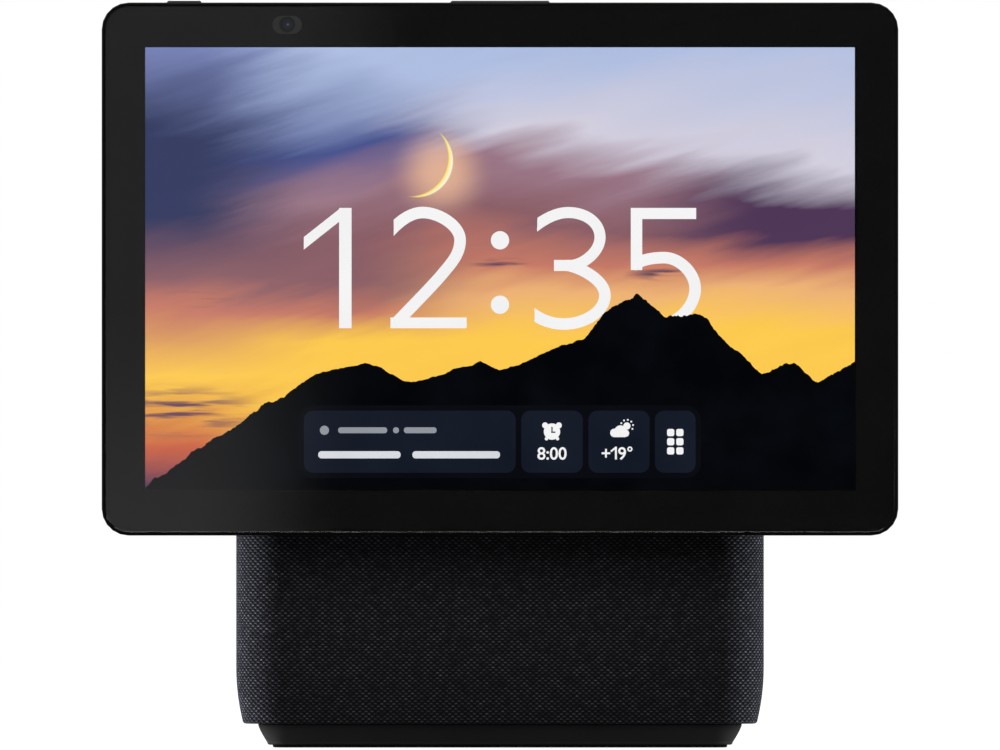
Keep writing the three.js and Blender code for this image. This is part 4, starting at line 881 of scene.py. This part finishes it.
# the young moon: what one circle covers and another, set a little up and to the left, doesn't
MOON, MOON_RADIUS, SHADE, SHADE_RADIUS = (-0.0255, 0, 0.1798), 0.0111, (-0.02775, 0, 0.18085), 0.0120
flat = wire(tree, "VectorMath", {0: place, 1: (1, 0, 1)}, operation="MULTIPLY")
discs = []
for centre, radius, inside in ((MOON, MOON_RADIUS, True), (SHADE, SHADE_RADIUS, False)):
    far = wire(tree, "VectorMath", {0: flat, 1: centre}, operation="DISTANCE")
    edge = 0.00018 if inside else -0.00018
    discs.append(
        wire(
            tree,
            "MapRange",
            {"Value": far.outputs["Value"], "From Min": radius + edge, "From Max": radius - edge},
        )
    )
crescent = wire(tree, "Math", {0: discs[0], 1: discs[1]}, operation="MULTIPLY")
limb = wire(tree, "VectorMath", {0: flat, 1: (-0.0180, 0, 0.1762)}, operation="DISTANCE")
halo = wire(
    tree,
    "MapRange",
    {"Value": limb.outputs["Value"], "From Min": 0.018, "From Max": 0.0, "To Min": 0.0, "To Max": 0.66},
    interpolation_type="SMOOTHERSTEP",
)
hazy = wire(tree, "Mix", {"Factor": halo, "A": shaded.outputs["Result"], "B": "#ffc9a0"}, data_type="RGBA")
across = wire(
    tree,
    "MapRange",
    {"Value": far.outputs["Value"], "From Min": SHADE_RADIUS, "From Max": SHADE_RADIUS + 0.0015},
)
moonlight = wire(tree, "ValToRGB", {0: across}, stops=[(0.05, "#ffe357"), (0.75, "#fff9dc")])
moonlit = wire(
    tree, "Mix", {"Factor": crescent, "A": hazy.outputs["Result"], "B": moonlight}, data_type="RGBA"
)
feed(tree, shader, {"Emission Color": moonlit.outputs["Result"], "Emission Strength": SCREEN_GAIN})
sky = lit_plate(PICTURE_WIDTH, PICTURE_HEIGHT, 0, (PICTURE_LOW + PICTURE_HIGH) / 2, "sky")
add_layer(sky, "picture_sky", sky_light)

# ---- Clock figures ------------------------------------------------------------------------------
# The time in thin white figures, 37 mm tall, in front of the sky.


def stroke(points, half_width=0.00186):
    """A bent band of even width through points of (across, up, and the pull of its handle), in mm."""
    bpy.ops.object.select_all(action="DESELECT")
    bpy.ops.curve.primitive_bezier_curve_add()
    band = bpy.context.object
    spline = band.data.splines[0]
    spline.bezier_points.add(len(points) - 2)
    for point, (x, z, pull_x, pull_z) in zip(spline.bezier_points, points):
        point.handle_left_type = point.handle_right_type = "FREE"
        point.co = (x / 1000, 0, z / 1000)
        point.handle_left = ((x - pull_x) / 1000, 0, (z - pull_z) / 1000)
        point.handle_right = ((x + pull_x) / 1000, 0, (z + pull_z) / 1000)
    band.location = (0, 0, 0)
    band.data.resolution_u = 16
    band.data.bevel_depth = half_width
    band.data.bevel_resolution = 3
    band.data.use_fill_caps = True
    bpy.ops.object.convert(target="MESH")
    return bpy.context.object


def settle(band, x, z, layer, cuts=()):
    """Flattens a band into its layer at x and z; each cut is a point and the side taken off."""
    bpy.ops.object.mode_set(mode="EDIT")
    bpy.ops.mesh.select_all(action="SELECT")
    bpy.ops.transform.resize(value=(1, 0.004, 1), center_override=(0, 0, 0))
    for spot, side in cuts:
        bpy.ops.mesh.select_all(action="SELECT")
        bpy.ops.mesh.bisect(plane_co=spot, plane_no=side, use_fill=True, clear_outer=True)
    bpy.ops.mesh.select_all(action="SELECT")
    bpy.ops.transform.translate(value=(x, layer_y[layer] + LAYER / 2, z))
    bpy.ops.object.mode_set(mode="OBJECT")
    return band


BASE_Z = 0.1286  # the line the figures stand on
LEFTWARDS, RIGHTWARDS = (-1, 0, 0), (1, 0, 0)
figure_white, tree, shader = start_material("lit_white_figures", Base_Color="#000000", Specular_IOR_Level=0.0)
place = wire(tree, "TexCoord").outputs["Object"]
weave = wire(tree, "TexNoise", {"Vector": place, "Scale": 40.0})
whites = wire(tree, "ValToRGB", {0: weave}, stops=[(0.3, "#f3f3f4"), (0.7, "#f8f8f8")])
feed(tree, shader, {"Emission Color": whites, "Emission Strength": SCREEN_GAIN})
figures = [
    # one: an upright and a flag
    lit_plate(0.0038, 0.0368, -0.0473, BASE_Z + 0.0184, "clock"),
    settle(
        stroke([(-63.0, 23.6, 2, 1.6), (-43.0, 39.4, 2, 1.6)], 0.00158),
        0, BASE_Z, "clock",
        (((-0.0600, 0, 0), LEFTWARDS), ((-0.0456, 0, 0), RIGHTWARDS), ((0, 0, 0.0368), UP)),
    ),
    # two: a bowl running into a slope, and a foot
    settle(
        stroke([
            (-34.0, 29.2, 1.5, 1.6), (-23.6, 35.4, 4.9, 0), (-12.2, 27.0, 0, -4.4),
            (-17.8, 16.4, -2.8, -3.4), (-33.0, 0.4, -0.6, -0.6),
        ]),
        0, BASE_Z, "clock",
        (((-0.0325, 0, 0), LEFTWARDS), ((0, 0, 0), DOWN)),
    ),
    lit_plate(0.0233, 0.0033, -0.02185, BASE_Z + 0.00165, "clock"),
    # three: two bowls and a middle bar
    settle(
        stroke([
            (9.5, 30.2, 1.5, 1.2), (20.9, 35.4, 5.2, 0), (30.6, 27.8, 0, -4.6),
            (21.5, 19.2, -3.6, 0), (16.5, 19.2, -1, 0),
        ], 0.00178),
        0, BASE_Z, "clock",
        (((0.0114, 0, 0), LEFTWARDS),),
    ),
    settle(
        stroke([(20.5, 19.2, 2.4, 0), (32.1, 10.1, 0, -5.2), (19.6, 1.3, -6.0, 0), (8.9, 5.1, -1.6, 0.8)]),
        0, BASE_Z, "clock",
        (((0.0106, 0, 0), LEFTWARDS),),
    ),
    # five: a bar, an upright and a bowl
    lit_plate(0.0200, 0.0034, 0.0500, BASE_Z + 0.0351, "clock"),
    lit_plate(0.0035, 0.0190, 0.04175, BASE_Z + 0.0273, "clock"),
    settle(
        stroke([
            (40.4, 19.0, 2.0, 1.5), (50.2, 21.6, 4.6, 0), (59.7, 12.0, 0, -5.0),
            (49.5, 1.3, -5.0, 0), (39.0, 4.4, -1.6, 0.9),
        ]),
        0, BASE_Z, "clock",
        (((0.0400, 0, 0), LEFTWARDS),),
    ),
]
for dot_z in (0.0269, 0.0072):
    bpy.ops.object.select_all(action="DESELECT")
    bpy.ops.mesh.primitive_circle_add(
        vertices=40, radius=0.0028, fill_type="NGON", rotation=(math.pi / 2, 0, 0),
        location=(0, layer_y["clock"], BASE_Z + dot_z),
    )
    bpy.ops.object.mode_set(mode="EDIT")
    carry([(0, LAYER)], BACKWARD)
    close_up()
    bpy.ops.object.mode_set(mode="OBJECT")
    figures.append(bpy.context.object)
add_layer(joined(figures), "picture_clock", figure_white)

# ---- Mountain ridge -----------------------------------------------------------------------------
# A dark ridge stands in front of the sky and hides the foot of the last figure.
ridge_dark, tree, shader = start_material("unlit_ridge", Base_Color="#000000", Specular_IOR_Level=0.0)
place = wire(tree, "TexCoord").outputs["Object"]
rock = wire(tree, "TexNoise", {"Vector": place, "Scale": 60.0, "Detail": 4.0})
darks = wire(tree, "ValToRGB", {0: rock}, stops=[(0.35, "#040508"), (0.7, "#080b10")])
feed(tree, shader, {"Emission Color": darks, "Emission Strength": SCREEN_GAIN})
# its peaks and saddles, across and up in mm, from the left foot to the right edge
RIDGE = (
    (-110, 80), (-85, 96), (-70, 106), (-55, 115), (-41, 118), (-27, 112), (-6, 118), (0, 116), (25, 125),
    (34, 135), (42, 139), (51, 132), (61, 133), (72, 122), (80, 115), (90, 118), (97, 112), (110, 119),
)
RIDGE_STEPS = 700
bpy.ops.object.select_all(action="DESELECT")
bpy.ops.mesh.primitive_grid_add(
    x_subdivisions=RIDGE_STEPS, y_subdivisions=1, size=2, rotation=(math.pi / 2, 0, 0)
)
ridge = bpy.context.object
bpy.ops.object.transform_apply(rotation=True)
for vertex in ridge.data.vertices:
    x = vertex.co.x * PICTURE_WIDTH / 2
    if vertex.co.z < 0:
        z = PICTURE_LOW
    else:
        step = next(i for i in range(1, len(RIDGE)) if RIDGE[i][0] >= x * 1000)
        (xa, za), (xb, zb) = RIDGE[step - 1], RIDGE[step]
        part = (x * 1000 - xa) / (xb - xa)
        part = part * part * (3 - 2 * part) * 0.5 + part * 0.5
        jag = 0.0010 if abs(x + 0.02) > 0.045 else 0.0005
        rough = noise.fractal(Vector((x * 260, 3.1, 0)), 0.7, 2.1, 5) * jag
        z = (za + (zb - za) * part) / 1000 + rough
    vertex.co = (x, layer_y["ridge"], z)
bpy.ops.object.mode_set(mode="EDIT")
bpy.ops.mesh.select_all(action="SELECT")
carry([(0, LAYER)], BACKWARD)
close_up()
bpy.ops.object.mode_set(mode="OBJECT")
add_layer(ridge, "picture_ridge", ridge_dark)

# ---- Cards and signs ----------------------------------------------------------------------------
# A rounded bar with four cards: a reminder, drawn as plain bars instead of words, an alarm, the
# weather and a menu of six squares. The only figures are an hour and a temperature.


def lit_paint(name, dark, light):
    """An even lit colour, with the slight unevenness of a backlight."""
    material, tree, shader = start_material(name, Base_Color="#000000", Specular_IOR_Level=0.0)
    place = wire(tree, "TexCoord").outputs["Object"]
    cloud = wire(tree, "TexNoise", {"Vector": place, "Scale": 50.0})
    shade = wire(tree, "ValToRGB", {0: cloud}, stops=[(0.3, dark), (0.7, light)])
    feed(tree, shader, {"Emission Color": shade, "Emission Strength": SCREEN_GAIN})
    return material


bar_paint = lit_paint("lit_bar_ink_blue", "#090b10", "#0c0e13")
card_paint = lit_paint("lit_card_slate_blue", "#141926", "#191e2b")
grey_paint = lit_paint("lit_grey_signs", "#8c9099", "#969aa3")
pale_paint = lit_paint("lit_pale_signs", "#d4d7dd", "#dfe2e7")
BAR_X, BAR_Z, CARD_HEIGHT = -0.00015, 0.0939, 0.0190
bar = lit_plate(0.1233, 0.0223, BAR_X, BAR_Z, "bar", 0.0048)
add_layer(bar, "picture_bar", bar_paint)
cards = []
for card_x, card_width in ((-0.0276, 0.0648), (0.0159, 0.0188), (0.0364, 0.0187), (0.0536, 0.0124)):
    cards.append(lit_plate(card_width, CARD_HEIGHT, card_x, BAR_Z, "cards", 0.0028))
add_layer(joined(cards), "picture_cards", card_paint)


def disc(x, z, radius):
    """A small round of a sign."""
    return lit_plate(2 * radius, 2 * radius, x, z, "signs", radius * 0.999, 10)


def figures_of(words, x, z, size):
    """Small figures in a plain face, centred at x and z."""
    bpy.ops.object.select_all(action="DESELECT")
    bpy.ops.object.text_add(rotation=(math.pi / 2, 0, 0))
    made = bpy.context.object
    made.data.body = words
    made.data.size = size
    made.data.align_x = "CENTER"
    made.data.extrude = LAYER / 2
    made.data.offset = 0.00007
    bpy.ops.object.convert(target="MESH")
    made = bpy.context.object
    made.location = (x, layer_y["signs"] + LAYER / 2, z)
    bpy.ops.object.transform_apply(location=True, rotation=True, scale=True)
    return made


SUN_X, SUN_Z, RAY_REACH, MENU_X = 0.0388, 0.0987, 0.0019, 0.0536
signs = [
    # the alarm clock: a round face, two bells and two feet
    disc(0.0159, 0.0970, 0.0025), disc(0.0138, 0.0989, 0.0009), disc(0.0180, 0.0989, 0.0009),
    disc(0.0142, 0.0948, 0.0005), disc(0.0176, 0.0948, 0.0005),
    # the weather: a cloud on three rounds and a small sun behind it
    disc(0.0350, 0.0966, 0.0013), disc(0.0368, 0.0971, 0.0018), disc(0.0384, 0.0965, 0.0011),
    lit_plate(0.0040, 0.0012, 0.0366, 0.0959, "signs", 0.0004), disc(SUN_X, SUN_Z, 0.0011),
    figures_of("8:00", 0.0159, 0.0885, 0.0053), figures_of("+", 0.0324, 0.0885, 0.0053),
    figures_of("9°", 0.0384, 0.0885, 0.0053), lit_plate(0.0006, 0.0039, 0.03545, 0.09042, "signs"),
    settle(stroke([(33.9, 90.9, 0.3, 0.3), (35.5, 92.2, 0.3, 0.3)], 0.00028), 0, 0, "signs"),
]
for turn in range(-2, 4):
    a = math.radians(45 + 36 * turn)
    ray_x, ray_z = SUN_X + RAY_REACH * math.cos(a), SUN_Z + RAY_REACH * math.sin(a)
    signs.append(lit_plate(0.0005, 0.0005, ray_x, ray_z, "signs", 0.0001))
for column in (-1, 1):
    for row in (-1, 0, 1):
        square_x, square_z = MENU_X + column * 0.0014, BAR_Z + row * 0.0028
        signs.append(lit_plate(0.0022, 0.0022, square_x, square_z, "signs", 0.0006))
add_layer(joined(signs), "picture_signs", figure_white)
greys = [disc(-0.0537, 0.0974, 0.0014)]
for bar_x, bar_width in ((-0.0420, 0.0150), (-0.0318, 0.0018), (-0.0244, 0.0100)):
    greys.append(lit_plate(bar_width, 0.0018, bar_x, 0.0974, "signs", 0.0008))
add_layer(joined(greys), "picture_grey_signs", grey_paint)
pales = []
for bar_x, bar_width in ((-0.0430, 0.0252), (-0.0134, 0.0268)):
    pales.append(lit_plate(bar_width, 0.0022, bar_x, 0.0899, "signs", 0.0010))
add_layer(joined(pales), "picture_pale_signs", pale_paint)
hands = [lit_plate(0.0004, 0.0017, 0.0159, 0.0976, "mask"), lit_plate(0.0013, 0.0004, 0.0163, 0.0968, "mask")]
add_layer(joined(hands), "picture_clock_hands", card_paint)

# ---- Cover glass --------------------------------------------------------------------------------
# Aluminosilicate glass, 1.1 mm, polished all over. Black enamel is printed on its back round the
# picture, with one clear window for the camera.
clear_glass, tree, shader = start_material(
    "polished_cover_glass", Base_Color="#ffffff", Transmission_Weight=1.0, IOR=1.5
)
place = wire(tree, "TexCoord").outputs["Object"]
smears = wire(tree, "TexNoise", {"Vector": place, "Scale": 25.0, "Detail": 6.0, "Roughness": 0.7})
gloss = wire(
    tree, "MapRange", {"Value": smears, "From Min": 0.55, "From Max": 0.8, "To Min": 0.0, "To Max": 0.02}
)
feed(tree, shader, {"Roughness": gloss})
dress(clear_glass, "cover_glass")

black_enamel, tree, shader = start_material(
    "screen_printed_black_enamel", Roughness=0.6, Specular_IOR_Level=0.05
)
place = wire(tree, "TexCoord").outputs["Object"]
print_grain = wire(tree, "TexNoise", {"Vector": place, "Scale": 900.0, "Detail": 2.0})
shade = wire(tree, "ValToRGB", {0: print_grain}, stops=[(0.3, "#262626"), (0.7, "#2a2a2a")])
feed(tree, shader, {"Base Color": shade})
low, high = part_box("cover_glass")
CAMERA_X, CAMERA_Z = -0.0651, 0.2214
GLASS_CORNER, PICTURE_GAP = 0.0072, 0.0006
WINDOW_WIDTH, WINDOW_HEIGHT, WINDOW_CORNER = 0.0090, 0.0055, 0.00274
mask = plate(
    high.x - low.x, high.z - low.z, (0, layer_y["mask"], (low.z + high.z) / 2), GLASS_CORNER, FORWARD, 16
)
carry([(0, LAYER)], BACKWARD)
close_up()
bpy.ops.object.mode_set(mode="OBJECT")
for width, height_, x, z, corner in (
    (PICTURE_WIDTH + PICTURE_GAP, PICTURE_HEIGHT + PICTURE_GAP, 0, (PICTURE_LOW + PICTURE_HIGH) / 2, 0.0),
    (WINDOW_WIDTH, WINDOW_HEIGHT, CAMERA_X, CAMERA_Z, WINDOW_CORNER),
):
    cutter = plate(width, height_, (x, layer_y["mask"] - 0.0002, z), corner, FORWARD, 16)
    carry([(0, 0.0006)], BACKWARD)
    close_up()
    bpy.ops.object.mode_set(mode="OBJECT")
    bpy.ops.object.select_all(action="DESELECT")
    bpy.context.view_layer.objects.active = mask
    mask.select_set(True)
    modify(mask, "BOOLEAN", operation="DIFFERENCE", solver="EXACT", object=cutter)
    bpy.data.objects.remove(cutter)
finish_piece(mask, "printed_border", black_enamel)
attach(mask, "display")

# ---- Camera and privacy shutter -----------------------------------------------------------------
# The lens looks through the window. A thin dark blade slides across behind the glass, driven by
# the knob on the top edge.
shutter_film = moulded_plastic("dark_grey_polycarbonate", "#39393a", "#484849", 0.5, 0.3, 0.01)
dress(shutter_film, "shutter_blade")
dress(zinc_plate, "shutter_link")


def round_axis(name, rings, centre_x, centre_z, reach, roughness, coat):
    """A finish in rings round an axis that runs front to back."""
    material, tree, shader = start_material(name, Roughness=roughness, Coat_Weight=coat, Coat_Roughness=0.05)
    place = wire(tree, "TexCoord").outputs["Object"]
    from_axis = wire(
        tree,
        "Mapping",
        {
            "Vector": place,
            "Location": (-centre_x / reach, 0, -centre_z / reach),
            "Scale": (1 / reach, 0, 1 / reach),
        },
    )
    far = wire(tree, "VectorMath", {0: from_axis}, operation="LENGTH")
    shade = wire(tree, "ValToRGB", {0: far.outputs["Value"]}, stops=rings)
    feed(tree, shader, {"Base Color": shade})
    return material


# the barrel's rings, dark with one lighter brownish band, and the lens's bluish coating with a painted glint:
# a pale spot set a little right of and above its middle
barrel_black = round_axis(
    "matt_black_barrel",
    [(0.60, "#0b0c0d"), (0.73, "#101111"), (0.80, "#352c2f"), (0.86, "#0d0e0e"), (1.0, "#090a0a")],
    CAMERA_X, CAMERA_Z, 0.0026, 0.7, 0.0,
)
dress(barrel_black, "camera_module")
lens_coating_and_glint = round_axis(
    "coated_lens_glass_and_painted_glint",
    [
        (0.0, "#b4c8d6"), (0.08, "#8aa5ba"), (0.16, "#2a4763"), (0.40, "#1b2d46"),
        (0.60, "#171c21"), (0.75, "#222a2a"), (0.95, "#0b0c0d"),
    ],
    CAMERA_X + 0.0002, CAMERA_Z + 0.0001, 0.0018, 0.3, 0.2,
)
dress(lens_coating_and_glint, "camera_lens")

# ---- Privacy knob and volume rocker -------------------------------------------------------------
# Both stand just proud of the top edge: black ABS buttons in the frame's colour. The rocker turns
# on a steel pin over its two switches.
dress(textured_abs, "privacy_knob", "volume_rocker")

size = {"cad": [list(corner) for corner in cad_box], "visual": [list(corner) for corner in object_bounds()]}
